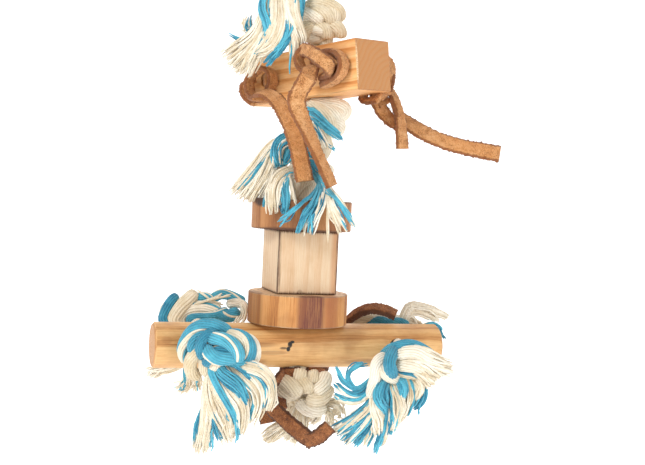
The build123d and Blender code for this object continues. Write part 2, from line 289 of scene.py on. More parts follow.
# ------------------------------------------------------------------ mesh helpers
class Bundle:
    """Collects the tubes of one piece and makes them one mesh."""

    def __init__(self):
        self.vertices, self.loops, self.sizes, self.slots, self.uvs = [], [], [], [], []
        self.count = 0

    def tubes(self, rings, slots, along, yarns=0):
        """Adds closed tubes: rings is (tubes, rings, sides, 3), slots (tubes, sides) or
        (tubes, rings - 1, sides), and along (tubes, rings) the length to each ring. yarns is how
        many yarns lie round one tube, where a tube is a whole strand."""
        tubes, steps, sides, _ = rings.shape
        self.vertices.append(rings.reshape(-1, 3))
        tube, step, side = np.meshgrid(
            np.arange(tubes), np.arange(steps - 1), np.arange(sides), indexing="ij")
        turn = (side + 1) % sides

        def vertex(step_index, side_index):
            return self.count + (tube * steps + step_index) * sides + side_index

        quads = np.stack([vertex(step, side), vertex(step, turn), vertex(step + 1, turn),
                          vertex(step + 1, side)], -1).reshape(-1, 4)
        u = np.stack([side, side + 1, side + 1, side], -1) / sides
        u = u * yarns + STRAND_UV if yarns else u
        near, far = along[tube, step], along[tube, step + 1]
        v = np.stack([near, near, far, far], -1)
        self.loops.append(quads.ravel())
        self.sizes.append(np.full(len(quads), 4))
        if slots.ndim == 2:
            slots = np.repeat(slots[:, None], steps - 1, 1)
        self.slots.append(slots[tube, step, side].ravel())
        self.uvs.append(np.stack([u, v], -1).reshape(-1, 2))
        first = self.count + np.arange(tubes)[:, None] * steps * sides
        order = np.arange(sides)[None]
        for caps in (first + order[:, ::-1], first + (steps - 1) * sides + order):
            self.loops.append(caps.ravel())
            self.sizes.append(np.full(tubes, sides))
            self.slots.append(slots[:, 0, 0])
            self.uvs.append(np.zeros((tubes * sides, 2)))
        self.count += tubes * steps * sides

    def make(self, name, body, materials, replaced=()):
        mesh = bpy.data.meshes.new(name)
        vertices = np.concatenate(self.vertices) * MM
        loops, sizes = np.concatenate(self.loops), np.concatenate(self.sizes)
        mesh.vertices.add(len(vertices))
        mesh.vertices.foreach_set("co", vertices.ravel())
        mesh.loops.add(len(loops))
        mesh.loops.foreach_set("vertex_index", loops)
        mesh.polygons.add(len(sizes))
        mesh.polygons.foreach_set("loop_start", np.concatenate([[0], np.cumsum(sizes)[:-1]]))
        mesh.polygons.foreach_set("material_index", np.concatenate(self.slots))
        mesh.polygons.foreach_set("use_smooth", np.ones(len(sizes), bool))
        mesh.uv_layers.new(name="UVMap").data.foreach_set("uv", np.concatenate(self.uvs).ravel())
        mesh.update(calc_edges=True)
        mesh.validate()
        for material in materials:
            mesh.materials.append(material)
        piece = bpy.data.objects.new(name, mesh)
        bpy.context.collection.objects.link(piece)
        if body:
            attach(piece, body)
        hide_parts(*replaced)
        return piece


def spline(points, count=None, step=1.0):
    """Evenly spaced points along the smooth NURBS curve that points control."""
    data = bpy.data.curves.new("route", "CURVE")
    data.dimensions = "3D"
    data.resolution_u = 16
    line = data.splines.new("NURBS")
    line.points.add(len(points) - 1)
    for point, place in zip(line.points, points):
        point.co = (*place, 1)
    line.order_u = 3
    line.use_endpoint_u = True
    holder = bpy.data.objects.new("route", data)
    mesh = bpy.data.meshes.new_from_object(holder)
    found = np.array([vertex.co for vertex in mesh.vertices])
    bpy.data.meshes.remove(mesh)
    bpy.data.objects.remove(holder)
    bpy.data.curves.remove(data)
    return respaced(found, count, step)


def respaced(points, count=None, step=1.0):
    length = np.concatenate([[0], np.cumsum(np.linalg.norm(np.diff(points, axis=0), axis=1))])
    count = count or max(8, int(length[-1] / step))
    even = np.linspace(0, length[-1], count)
    return np.stack([np.interp(even, length, points[:, k]) for k in range(3)], -1)


UPRIGHT = (0, 0, 1)
ASKEW = (0.31, 0.9, 0.28)  # along none of the toy's parts, so a cross product with it is safe


def unit(vectors):
    return vectors / np.maximum(np.linalg.norm(vectors, axis=-1, keepdims=True), 1e-9)


def from_upright(axis):
    """The rotation that takes the upright axis to axis."""
    return Vector(UPRIGHT).rotation_difference(Vector(axis)).to_matrix()


def lengths(points):
    """The length along points to each of them; the last two axes are points and coordinates."""
    steps = np.linalg.norm(np.diff(points, axis=-2), axis=-1)
    start = np.zeros(steps.shape[:-1] + (1,))
    return np.concatenate([start, np.cumsum(steps, axis=-1)], axis=-1)


def side_vectors(points):
    """Two side vectors at each point, carried along the points without twisting."""
    tangents = unit(np.gradient(points, axis=0))
    normals = [unit(np.cross(tangents[0], ASKEW))]
    for tangent in tangents[1:]:
        normal = normals[-1] - tangent * np.dot(normals[-1], tangent)
        normals.append(unit(normal))
    normals = np.array(normals)
    return normals, np.cross(tangents, normals)


def ring_round(centres, radius, angle, normals, sides):
    """Points at angle and radius round each centre, in the plane of its two side vectors."""
    return centres[:, None] + radius[..., None] * (
        np.cos(angle)[..., None] * normals[:, None] + np.sin(angle)[..., None] * sides[:, None])


# ------------------------------------------------------------------ twisted rope
STRANDS = 3
YARNS_PER_STRAND = 13
SIDES_PER_YARN = 3
STRAND_R = 0.272
STRAND_OFFSET = 0.285
LAY = 3.3
YARN_LAY = 2.2


def add_rope(bundle, points, diameter, colours, phase=0.0):
    """A three-strand rope along points. colours gives each strand one material per yarn."""
    points = respaced(points, step=0.9)
    normals, sides = side_vectors(points)
    along = lengths(points)
    sector = np.arange(YARNS_PER_STRAND * SIDES_PER_YARN)
    for strand in range(STRANDS):
        turn = 2 * math.pi * (along / (LAY * diameter) + strand / STRANDS) + phase
        out = np.cos(turn)[:, None] * normals + np.sin(turn)[:, None] * sides
        centre = points + out * (STRAND_OFFSET * diameter)
        twist = -2 * math.pi * along / (YARN_LAY * diameter)
        angle = 2 * math.pi * sector / len(sector) + twist[:, None]
        ridge = 1 + 0.035 * np.cos(sector * 2 * math.pi / SIDES_PER_YARN + 1.1)
        radius = np.tile(STRAND_R * diameter * ridge, (len(points), 1))
        ring = ring_round(centre, radius, angle, *side_vectors(centre))
        slots = np.array([colours[strand][s // SIDES_PER_YARN] for s in sector])
        bundle.tubes(ring[None], slots[None], along[None], yarns=YARNS_PER_STRAND)


ALL_CREAM = [[0] * YARNS_PER_STRAND] * STRANDS
TWO_COLOUR = [
    [1] * 12 + [0],
    [0] * YARNS_PER_STRAND,
    [0, 0, 0, 0, 0, 0, 1, 1, 1, 1, 1, 1, 1],
]


def tight_overhand():
    """The centre line of an overhand knot in a rope one unit thick, pulled tight along Z.

    A loose knot is drawn tight a little at a time. Its points keep their spacing, and stretches
    that meet push each other apart to a little less than one thickness.
    """
    t = np.linspace(-2.16, 2.16, 600)
    loose = np.stack([t ** 3 - 3 * t, t ** 4 - 4 * t ** 2, (t ** 5 - 10 * t) * 0.3], -1)
    loose[:, 1] -= loose[:, 1].mean()
    count, spacing, contact, pull = 96, 0.25, 0.8, 0.014
    points = respaced(loose, count)
    points *= spacing / np.linalg.norm(points[1] - points[0])
    index = np.arange(count)
    far = np.abs(index[:, None] - index[None]) > 4
    ends = points[[0, -1]].copy()
    for _ in range(300):
        ends += np.sign(ends) * (0, 0, pull)
        ends[:, :2] *= 0.97
        for _ in range(18):
            points[[0, -1]] = ends
            step = points[1:] - points[:-1]
            size = np.linalg.norm(step, axis=1, keepdims=True)
            fix = 0.45 * (size - spacing) / size * step
            points[:-1] += fix
            points[1:] -= fix
            points[1:-1] += 0.05 * (0.5 * (points[:-2] + points[2:]) - points[1:-1])
            gap = points[:, None] - points[None]
            distance = np.linalg.norm(gap, axis=-1) + 1e-9
            push = np.where(far & (distance < contact), (contact - distance) / distance, 0)
            points += 0.25 * (gap * push[..., None]).sum(1)
    return points


KNOT = tight_overhand()
KNOT_CENTRE = KNOT[30:-30].mean(axis=0)
KNOT_HALF = 1.7


def knot_path(centre, axis, spin, size, mirror=1):
    """The overhand knot at centre with its rope along axis, turned by spin degrees about it."""
    inside = KNOT[np.abs(KNOT[:, 2] - KNOT_CENTRE[2]) < KNOT_HALF] - KNOT_CENTRE * (0, 0, 1)
    shape = inside * np.array(size) * (mirror, 1, 1)
    turn = np.array(from_upright(axis) @ Matrix.Rotation(math.radians(spin), 3, "Z"))
    return shape @ turn.T + np.array(centre)


# ------------------------------------------------------------------ frayed ends
UNEVEN_ENDS = 0.2
LOCK_DEPTH = 0.55
STRAY_SHARE = 0.07
STRAY_REACH = 3.2
GATHERING = 0.45
STRAND_RIDGES = 14


def add_lock(bundle, guide, yarns, radii, blue, seed, frizz=0.6, twist=0.15, parts=3, stripes=1):
    """A lock of loose yarns along guide: radii are its half widths at the root, belly and tip.

    blue is the share of blue yarns, from the left edge of a hanging lock, or from the right if
    it is below zero, in each of the stripes. Towards the tip the yarns gather into a few parts
    with gaps between.
    """
    rng = np.random.default_rng(seed)
    steps, corners = 16, 5
    path = spline(guide, count=60)
    tangents = unit(np.gradient(path, axis=0))
    wide = unit(np.cross(tangents, (0, 1, 0)) + 1e-4)
    deep = np.cross(wide, tangents)
    share = np.linspace(0, 1, steps)[None] * (1 - UNEVEN_ENDS * rng.random((yarns, 1)) ** 1.5)
    place = share * (len(path) - 1)

    def at(values):
        low = np.minimum(place.astype(int), len(path) - 2)
        part = (place - low)[..., None]
        return values[low] * (1 - part) + values[low + 1] * part

    angle = 2 * math.pi * rng.random(yarns)
    reach = np.sqrt(rng.random(yarns)) * 0.92
    u, v = reach * np.cos(angle), reach * np.sin(angle)
    edges = np.linspace(-1, 1, parts + 1) + 0.25 / parts * rng.standard_normal(parts + 1)
    part_of = np.clip(np.searchsorted(edges, u) - 1, 0, parts - 1)
    middles = 0.5 * (edges[:-1] + edges[1:])[part_of]
    gather = GATHERING * share ** 2.2
    u_now = u[:, None] * (1 - gather) + middles[:, None] * gather
    turn = twist * 2 * math.pi * share
    root, belly, tip = radii
    size = np.interp(share, [0, 0.22, 0.5, 0.75, 1], [
        root, 0.35 * root + 0.65 * belly, belly, 0.55 * belly + 0.45 * tip, tip])
    across = size * (u_now * np.cos(turn) - v[:, None] * np.sin(turn))
    inward = size * LOCK_DEPTH * (u_now * np.sin(turn) + v[:, None] * np.cos(turn))
    centre = at(path) + across[..., None] * at(wide) + inward[..., None] * at(deep)
    stray = np.where(rng.random((yarns, 1, 1)) < STRAY_SHARE, STRAY_REACH, 1.0)
    for waves in (1.1, 2.3, 4.7):
        phase = 2 * math.pi * rng.random((yarns, 1, 3))
        shake = frizz * 0.8 * stray * rng.standard_normal((yarns, 1, 3)) / waves
        centre += shake * np.sin(2 * math.pi * waves * share[..., None] + phase) * share[..., None]
    rank = np.argsort(np.argsort(u + 0.15 * rng.standard_normal(yarns))) / yarns
    rank = rank * stripes % 1
    is_blue = rank < blue if blue >= 0 else rank > 1 + blue
    tangent = unit(np.gradient(centre, axis=1))
    normal = unit(np.cross(tangent, (0.23, 0.95, 0.2)))
    side = np.cross(tangent, normal)
    around = 2 * math.pi * np.arange(corners) / corners
    taper = np.ones(steps)
    taper[-1] = 0.5
    radius = YARN_R * (0.8 + 0.4 * rng.random((yarns, 1))) * taper[None]
    ring = centre[:, :, None] + radius[..., None, None] * (
        np.cos(around)[:, None] * normal[:, :, None] + np.sin(around)[:, None] * side[:, :, None])
    bundle.tubes(ring, np.repeat(is_blue.astype(int)[:, None], corners, 1), lengths(centre))


def add_strand(bundle, points, radius, blue=0, turns=0.3, start=0):
    """One fat strand of a knot: parallel yarns, part of them blue, twisted a little."""
    path = spline(points, step=0.8)
    count = len(path)
    sides = 4 * STRAND_RIDGES
    sector = np.arange(sides)
    share = np.linspace(0, 1, count)[:, None]
    twist = 2 * math.pi * turns * share
    angle = 2 * math.pi * sector / sides + twist
    swell = 0.35 + 0.65 * (1 - np.abs(2 * share - 1) ** 7) ** 0.5
    ridge = 1 + 0.06 * np.cos(sector * 2 * math.pi * STRAND_RIDGES / sides + math.pi)[None]
    ripple = 1 + 0.02 * np.sin(share * 17 + sector * 0.4)
    size = radius * swell * ridge * ripple
    ring = ring_round(path, size, angle, *side_vectors(path))
    yarn = np.floor(sector * STRAND_RIDGES / sides) / STRAND_RIDGES
    is_blue = ((yarn + start) % 1 < blue).astype(int)
    bundle.tubes(ring[None], is_blue[None], lengths(path)[None], yarns=STRAND_RIDGES)


def add_locks(bundle, name, locks):
    """Each lock is (guide, yarns, radii, blue), and perhaps what differs from the defaults."""
    for number, (guide, yarns, radii, blue, *extra) in enumerate(locks):
        seed = sum(map(ord, name)) * 37 + number
        add_lock(bundle, guide, yarns, radii, blue, seed, **(extra[0] if extra else {}))


def frayed_piece(name, body, replaced, locks):
    bundle = Bundle()
    add_locks(bundle, name, locks)
    return bundle.make(name, body, COTTONS, replaced)


def rooted(root, runs):
    """The same runs, each starting at root."""
    return [([root, *points], *rest) for points, *rest in runs]


# ------------------------------------------------------------------ leather strips
def add_strap(bundle, points, wides, seed, width=LACE_WIDTH, thick=LACE_THICK):
    """A suede strip along the NURBS curve of points, its width along wides, which turn evenly."""
    rng = np.random.default_rng(seed)
    path = spline(points, step=0.7)
    count = len(path)
    tangents = unit(np.gradient(path, axis=0))
    given = np.array(wides, float)
    share = np.linspace(0, 1, count)
    stops = np.linspace(0, 1, len(given))
    wide = np.stack([np.interp(share, stops, given[:, k]) for k in range(3)], -1)
    wide = unit(wide - tangents * (wide * tangents).sum(-1, keepdims=True))
    thin = np.cross(tangents, wide)
    across = 15
    u = np.linspace(-1, 1, across)
    rim = (1 - np.abs(u) ** 6) ** 0.5
    rim[[0, -1]] = 0.25
    outline = [(x, h) for x, h in zip(u, rim)] + [(x, -h) for x, h in zip(u[::-1], rim[::-1])]
    outline = np.array(outline)
    wander = 0.25 * np.sin(share * 9 + rng.random() * 6)
    wander = wander + 0.18 * np.sin(share * 23 + rng.random() * 6)
    half_width = width / 2 + 0.4 * wander
    nap = 0.16 * rng.standard_normal((count, len(outline)))
    ring = path[:, None] + wide[:, None] * (outline[None, :, :1] * half_width[:, None, None])
    ring = ring + thin[:, None] * (outline[None, :, 1:] * (thick / 2 + nap[..., None]))
    edge = np.abs(outline[:, 0]) > 0.84
    fray = 0.28 * rng.standard_normal((count, len(outline))) * edge[None]
    ring += wide[:, None] * fray[..., None]
    first = len(bundle.uvs)
    bundle.tubes(ring[None], np.zeros((1, len(outline)), int), lengths(path)[None])
    edges = np.where(edge, 1.0, 0.0)
    sides = len(outline)
    uv = bundle.uvs[first].reshape(count - 1, sides, 4, 2)
    follow = np.roll(edges, -1)
    uv[..., 0] = np.stack([edges, follow, follow, edges], -1)[None]
    bundle.uvs[first] = uv.reshape(-1, 2)
    return path


def strap_piece(name, body, replaced, straps, leather):
    """One mesh of straps, in a leather that is (slot, material); the slot is not used."""
    slot, material = leather
    bundle = Bundle()
    first_seed = sum(map(ord, name))
    paths = [add_strap(bundle, seed=first_seed + k, **strap) for k, strap in enumerate(straps)]
    return bundle.make(name, body, [material], replaced), paths


# ------------------------------------------------------------------ places on the wood
def axes(turns):
    """The CAD's axes after turning about X, then the new Y, then the new Z, in degrees."""
    x, y, z = (math.radians(t) for t in turns)
    return Matrix.Rotation(x, 3, "X") @ Matrix.Rotation(y, 3, "Y") @ Matrix.Rotation(z, 3, "Z")


BLOCK_TURNS, BLOCK_AT = (1.8, -3.2, -43.3), (-2.2, 2.0, -145.7)
STACK_TURNS, STACK_AT = (2.0, 2.7, 17.5), (-12.3, 0.0, -249.3)


def on_block(x, y, z):
    return np.array(BLOCK_AT) + np.array(axes(BLOCK_TURNS) @ Vector((x, y, z)))


def on_stack(x, y, z):
    return np.array(STACK_AT) + np.array(axes(STACK_TURNS) @ Vector((x, y, z)))


# ------------------------------------------------------------------ wood and steel
RING_WANDER = 0.9


def millimetres(n, turns, origin):
    """Local coordinates in the axes of one wooden piece, in millimetres."""
    place = n.position()
    local = n.turned(place, axes(turns), tuple(c * MM for c in origin))
    return [n.math("MULTIPLY", value, 1000.0) for value in local]


def grain(n, along, across, deep, pith, ring_gap):
    """Growth rings and fibres: along runs with the grain, pith is where the tree's middle was."""
    stretched = n.vector(n.math("MULTIPLY", along, 0.06), across, deep)
    shift = n.noise(stretched, 0.06, 2, 0.5)
    bent = n.math("MULTIPLY_ADD", shift, RING_WANDER * ring_gap * 2, -RING_WANDER * ring_gap)
    a = n.math("SUBTRACT", across, pith[0])
    b = n.math("SUBTRACT", deep, pith[1])
    turns = n.math("DIVIDE", n.math("ADD", n.length_of(a, b), bent), ring_gap)
    ring = n.math("FRACT", turns)
    fibre = n.noise(n.vector(n.math("MULTIPLY", along, 0.04), across, deep), 1.6, 4, 0.7)
    pores = n.noise(n.vector(n.math("MULTIPLY", along, 0.12), across, deep), 4.5, 2, 0.6)
    return ring, fibre, pores


def edge_of_box(n, local, half):
    """How far a point on a box's surface is from the nearest edge."""
    gaps = [n.math("SUBTRACT", h, n.math("ABSOLUTE", value)) for value, h in zip(local, half)]
    low = n.math("MINIMUM", gaps[0], gaps[1])
    high = n.math("MAXIMUM", gaps[0], gaps[1])
    return n.math("MAXIMUM", low, n.math("MINIMUM", high, gaps[2]))


def spot(n, local, centre, radius):
    """1 at centre, fading to 0 at radius; a stretched spot has a radius for each axis."""
    parts = [n.math("POWER", n.math("DIVIDE", n.math("SUBTRACT", v, c), r), 2.0)
             for v, c, r in zip(local, centre, radius)]
    reach = n.math("ADD", n.math("ADD", parts[0], parts[1]), parts[2])
    return n.fall(reach, 0.3, 1.0)


def wood(name, turns, origin, grain_axis, pith, ring_gap, tones, half, burn, spots=(), disc=False,
         end_tone=None, ring_depth=0.8, roughness=0.62):
    """Sawn wood. tones are dark, middle and pale; burn is (colour, depth, strength); a spot is
    (centre, radii, colour, strength); most spots are marks in the wood, but a few are painted highlight
    and painted shade."""
    tones = [srgb(tone) for tone in tones]
    n = Nodes(name, roughness=roughness)
    local = millimetres(n, turns, origin)
    order = [grain_axis] + [k for k in range(3) if k != grain_axis]
    along, across, deep = (local[k] for k in order)
    ring, fibre, pores = grain(n, along, across, deep, pith, ring_gap)
    late = n.math("MULTIPLY", n.step(ring, 0.3, 0.82), n.fall(ring, 0.88, 1.0))
    tone = n.math("MULTIPLY_ADD", late, -0.34 * ring_depth, n.math("MULTIPLY_ADD", fibre, 0.9, 0.26))
    colour = n.ramp(tone, (0.3, tones[0]), (0.55, tones[1]), (0.82, tones[2]))
    colour = n.mix(n.math("MULTIPLY", n.step(pores, 0.6, 0.75), 0.35), colour, tones[0])
    large = n.noise(n.vector(*local), 0.05, 3, 0.6)
    colour = n.mix(n.math("MULTIPLY", n.step(large, 0.45, 0.7), 0.4), colour, tones[0])
    if end_tone:
        ends = n.step(n.math("ABSOLUTE", along), half[grain_axis] - 0.9, half[grain_axis] - 0.3)
        end_grain = n.ramp(n.math("MULTIPLY_ADD", late, 0.25, n.math("MULTIPLY", pores, 0.55)),
                           (0.2, srgb(end_tone)), (0.9, tones[0]))
        colour = n.mix(ends, colour, end_grain)
    for centre, radius, tint, strength in spots:
        rough_edge = n.math("MULTIPLY_ADD", fibre, 1.4, -0.2)
        amount = n.math("MULTIPLY", spot(n, local, centre, radius), rough_edge)
        colour = n.mix(n.math("MULTIPLY", amount, strength), colour, srgb(tint))
    if disc:
        edge = n.math("MAXIMUM", n.math("SUBTRACT", half[0], n.length_of(local[0], local[1])),
                      n.math("SUBTRACT", half[2], n.math("ABSOLUTE", local[2])))
    else:
        edge = edge_of_box(n, local, half)
    burn_colour, burn_depth, burn_strength = burn
    ragged = n.math("ADD", edge, n.math("MULTIPLY_ADD", fibre, 2.2 * burn_depth, -1.1 * burn_depth))
    burnt = n.math("MULTIPLY", n.fall(ragged, 0.0, burn_depth), burn_strength)
    colour = n.mix(burnt, colour, srgb(burn_colour))
    relief = n.math("ADD", n.math("MULTIPLY", late, 0.5), n.math("ADD", fibre, pores))
    n.bump(relief, 0.45, 0.0005)
    return n.colour(colour)


def steel():
    """Bright zinc plate with fine drawn lines and a little dullness."""
    n = Nodes("zinc_steel", roughness=0.28)
    n.shader.inputs["Metallic"].default_value = 1.0
    place = n.position()
    smear = n.noise(place, 240, 4, 0.6)
    drawn = n.add("ShaderNodeVectorMath", {0: place, 1: (1, 1, 0.05)}, operation="MULTIPLY")
    lines = n.noise(drawn.outputs[0], 3200, 2)
    n.feed(n.shader.inputs["Roughness"], n.math("MULTIPLY_ADD", smear, 0.22, 0.16))
    n.bump(lines, 0.15, 0.0002)
    return n.colour(n.ramp(smear, (0.3, srgb("A9ACAE")), (0.7, srgb("D2D4D6"))))


def cover(material, *names):
    for name in names:
        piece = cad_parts[name]
        if not piece.material_slots:
            piece.data.materials.append(material)
        for slot in piece.material_slots:
            slot.material = material


def cover_wood():
    cover(wood("block_wood", BLOCK_TURNS, BLOCK_AT, 0, (25, -24), 3.2,
               ("C27838", "E3A35F", "EFBE84"), (41.25, 13.5, 13.5),
               ("7A4A26", 0.8, 0.6), end_tone="C08B58",
               # the first spot is a painted highlight, a pale streak down the block's front right
               # vertical edge
               spots=[((41.3, -13.5, 0), (0.9, 0.9, 15), "F3CFA0", 2.0),
                      ((-38, -13.5, 8), (9, 6, 8), "8A5A34", 0.9)]), "upper_block")
    cover(wood("cube_wood", STACK_TURNS, STACK_AT, 2, (-30, 46), 4.4,
               ("C39C70", "D6B48F", "DEC6A5"), (16.9, 16.9, 17.1),
               ("4E2E1C", 1.8, 1.0), ring_depth=0.5,
               spots=[((17, -17, 0), (5, 5, 40), "B8723B", 0.9),
                      ((-4, -17, -17), (2.2, 6, 3), "5A3520", 0.8)]), "cube_block")
    cover(wood("upper_disc_wood", STACK_TURNS, on_stack(0, 0, 25.6), 2, (8, 12), 3.6,
               ("744526", "9E6738", "B98250"), (27.6, 27.6, 8.3),
               ("4A2A1A", 1.3, 0.8), disc=True, end_tone="B98450",
               spots=[((-26, -10, 9), (11, 13, 6), "3A2114", 2.2),
                      ((-12, -22, -9.6), (36, 22, 3.4), "4A2A18", 1.8),
                      ((-6, -27, 0), (3.2, 8, 40), "5F351F", 1.6),
                      ((25, -10, 0), (9, 9, 12), "D08E52", 0.6)]), "upper_disc")
    cover(wood("lower_disc_wood", STACK_TURNS, on_stack(0, 0, -25.9), 2, (-5, 6), 3.4,
               ("925629", "C38447", "D69E62"), (27.6, 27.6, 8.6),
               ("5A3723", 0.9, 0.6), disc=True, end_tone="DDB88C",
               spots=[((0, -27, 0), (9, 9, 40), "6A3426", 1.7),
                      ((12, -24, 0), (5.5, 9, 40), "9A5632", 1.0),
                      ((23, -15, 0), (1.2, 9, 40), "8A4E2E", 1.2),
                      ((-27, -5, 0), (6, 14, 40), "6E4226", 1.0)]), "lower_disc")
    cover(wood("perch_wood", STACK_TURNS, on_stack(2.3, 0, -47.1), 0, (2, 3), 2.9,
               ("A66C36", "D49E60", "E6BB80"), (82.2, 12.3, 12.3),
               ("7C4A2C", 1.0, 0.6), end_tone="C48F58", roughness=0.5,
               spots=[((-28, -11, 2), (15, 6, 1.8), "7A4A22", 0.8),
                      ((-9.0, -12, 2.0), (1.5, 5, 1.9), "17130F", 2.6),
                      ((-7.6, -12, 3.4), (1.4, 5, 0.9), "17130F", 2.6),
                      ((-9.9, -12, -0.4), (1.3, 5, 1.6), "17130F", 2.6),
                      ((-12.6, -12, 0.1), (2.6, 5, 0.7), "2A1F16", 1.6),
                      ((-19, -12, -2.4), (12, 5, 1.4), "7A4722", 0.7),
                      ((-34, -10, -8), (16, 6, 3), "7A4A22", 0.9),
                      # painted shadow of the right front tassel on the lower front of the perch
                      ((36, -10, -8.5), (14, 6, 3), "8A5A30", 0.9),
                      # painted shade where the lower disc sits on the top of the perch
                      ((0, -9, 9.5), (28, 5, 2.5), "8C6236", 0.8),
                      ((-76, -8, 4), (4, 8, 3), "9A6236", 0.7)]), "perch")
    cover(steel(), "quick_link", "quick_link_nut")


cover_wood()


# ------------------------------------------------------------------ the main rope
def straight(start, end):
    return np.linspace(start, end, 12)


def wrap_path(centre, axis, radius, rise, start, end):
    """A helix round axis from start to end degrees, climbing rise in all."""
    turns = np.radians(np.linspace(start, end, 60))
    height = np.linspace(-rise / 2, rise / 2, 60)
    shape = np.stack([radius * np.cos(turns), radius * np.sin(turns), height], -1)
    return shape @ np.array(from_upright(axis)).T + np.array(centre)


def rope_piece(name, body, replaced, runs):
    """One mesh of rope runs; a run is (points, diameter, colours) and maybe a phase."""
    bundle = Bundle()
    for points, diameter, colours, *phase in runs:
        add_rope(bundle, np.asarray(points, float), diameter, colours, *phase)
    return bundle.make(name, body, COTTONS, replaced)


def strand_piece(name, body, replaced, core, strands, locks=()):
    """Fat strands laid over a core of the same rope, and perhaps loose locks."""
    bundle = Bundle()
    if core:
        add_rope(bundle, *core)
    for points, radius, *look in strands:
        add_strand(bundle, points, radius, *look)
    add_locks(bundle, name, locks)
    return bundle.make(name, body, COTTONS, replaced)


def bending_rope(name, replaced, points):
    """A plain stretch of rope along points, from one body to the next, fixed in place and attached to
    neither.
    """
    piece = rope_piece(name, None, replaced, [(points, ROPE_D, ALL_CREAM)])
    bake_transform(piece)


def eye_path():
    """The loop through the link: down one leg into the knot, up and round the other."""
    low, reach, top = -66.0, 14.0, -47.7
    turns = np.radians(np.linspace(-62, 242, 50))
    arc = np.stack([np.zeros(50), reach * np.cos(turns), top + reach * np.sin(turns)], -1)
    return np.vstack([[[0, 3.5, low]], arc, [[0, -3.5, low]]])


UPPER_BEND = np.array((0, 0, -184.3))
LOWER_BEND = on_stack(0, 0, 40.2)

rope_piece("rope_loop", "eye", ["rope_eye"], [(eye_path(), 12.0, ALL_CREAM)])
rope_piece("rope_loop_knot", "eye", ["loop_knot"], [
    (wrap_path((0, 0, -71), UPRIGHT, 8.2, 7.0, 20, 420), 9.5, ALL_CREAM),
    (straight((0, 0, -64), (0, 0, -77)), 12.0, ALL_CREAM)])
bending_rope("upper_rope_run", ["top_rope"],
             straight((0, 0, -75), (0, 0, -106)))
rope_piece("tassel_tie_above", "upper_rope", ["upper_tassel_knot"], [
    (wrap_path((0, 0, -96), UPRIGHT, 8.8, 6.5, -190, 230), 8.6, TWO_COLOUR, 0.6)])
strand_piece("stop_knot_above", "upper_rope", ["upper_stop_knot"],
             (knot_path((0, 1.5, -118), UPRIGHT, 40, (7.8, 7.8, 8.0)), 10.8, ALL_CREAM), [
    ([(-9.5, -4, -110.5), (-5, -6, -108), (1, -7, -108), (6.5, -7, -109.5), (10.5, -5, -112.5),
      (10, -2, -116)], 3.6),
    ([(-6.5, -6, -111), (-1.5, -8, -112), (2.5, -9, -113.5), (5, -8, -116.5), (5.5, -6, -119)], 3.6),
    ([(2.5, -6, -109.5), (6.5, -7, -112.5), (7.5, -7, -115.5), (6, -5, -118.5)], 3.4),
    ([(-11.5, -6, -112.5), (-7, -8, -114), (-3, -9, -116), (1, -8, -118)], 3.5, 0, 0.2),
    ([(-3, -6, -120), (0.5, -8, -121), (3, -8, -124), (3, -6, -127)], 3.6, 0, 0.2),
    ([(3.5, -5, -119.5), (7.5, -7, -120), (10.5, -6, -123), (10, -4, -126)], 3.8, 0, 0.2),
    ([(-4, -7, -120), (-7.5, -8, -121.5), (-10, -7, -124), (-9.5, -5, -127.5)], 3.4, 0, 0.2),
])
rope_piece("rope_in_block", "upper_rope", ["block_rope"], [
    (straight((0, 0, -126), (0, 0, -166)), ROPE_D, ALL_CREAM)])
strand_piece("stop_knot_below", "upper_rope", ["lower_stop_knot"],
             (knot_path((0, 1.5, -170.5), UPRIGHT, 205, (8.4, 8.2, 6.2)), 11, ALL_CREAM), [
    ([(-6.5, -5, -162), (1, -7, -163.5), (8, -7, -163), (13, -5, -164.5), (13.5, -3, -168),
      (8.5, -2, -171)], 3.4),
    ([(-7.5, -7, -163), (-2.5, -9, -165.5), (2.5, -9, -169), (5.5, -6, -172.5), (5.5, -2, -177)], 3.5),
    ([(-3, -6, -164), (3.5, -8, -165), (8.5, -8, -168), (11, -5, -170.5)], 3.2),
])
MIDDLE = (UPPER_BEND + LOWER_BEND) / 2
bending_rope("rope_above_tassel", ["middle_rope"],
             np.vstack([straight((0, 0, -176), UPPER_BEND),
                                        straight(UPPER_BEND, MIDDLE)[1:]]))
bending_rope("rope_below_tassel", [],
             np.vstack([straight(MIDDLE, LOWER_BEND), straight(LOWER_BEND, on_stack(0, 0, 33))[1:]]))
rope_piece("tassel_tie_middle", "middle", ["middle_tassel_knot"], [
    (wrap_path((-5.2, -0.7, -196.8), tuple(UPPER_BEND - LOWER_BEND), 8.6, 7.0, 150, 560),
     8.4, TWO_COLOUR, 1.9),
    (spline([(-9, -6, -199), (-9, -11, -196), (-3, -14, -195), (2, -12, -199), (1, -14, -206)]),
     7.4, TWO_COLOUR, 0.4)])
rope_piece("rope_in_stack", "lower_rope", ["stack_rope"], [
    (straight(on_stack(0, 0, 33), on_stack(0, 0, -68)), ROPE_D, ALL_CREAM)])
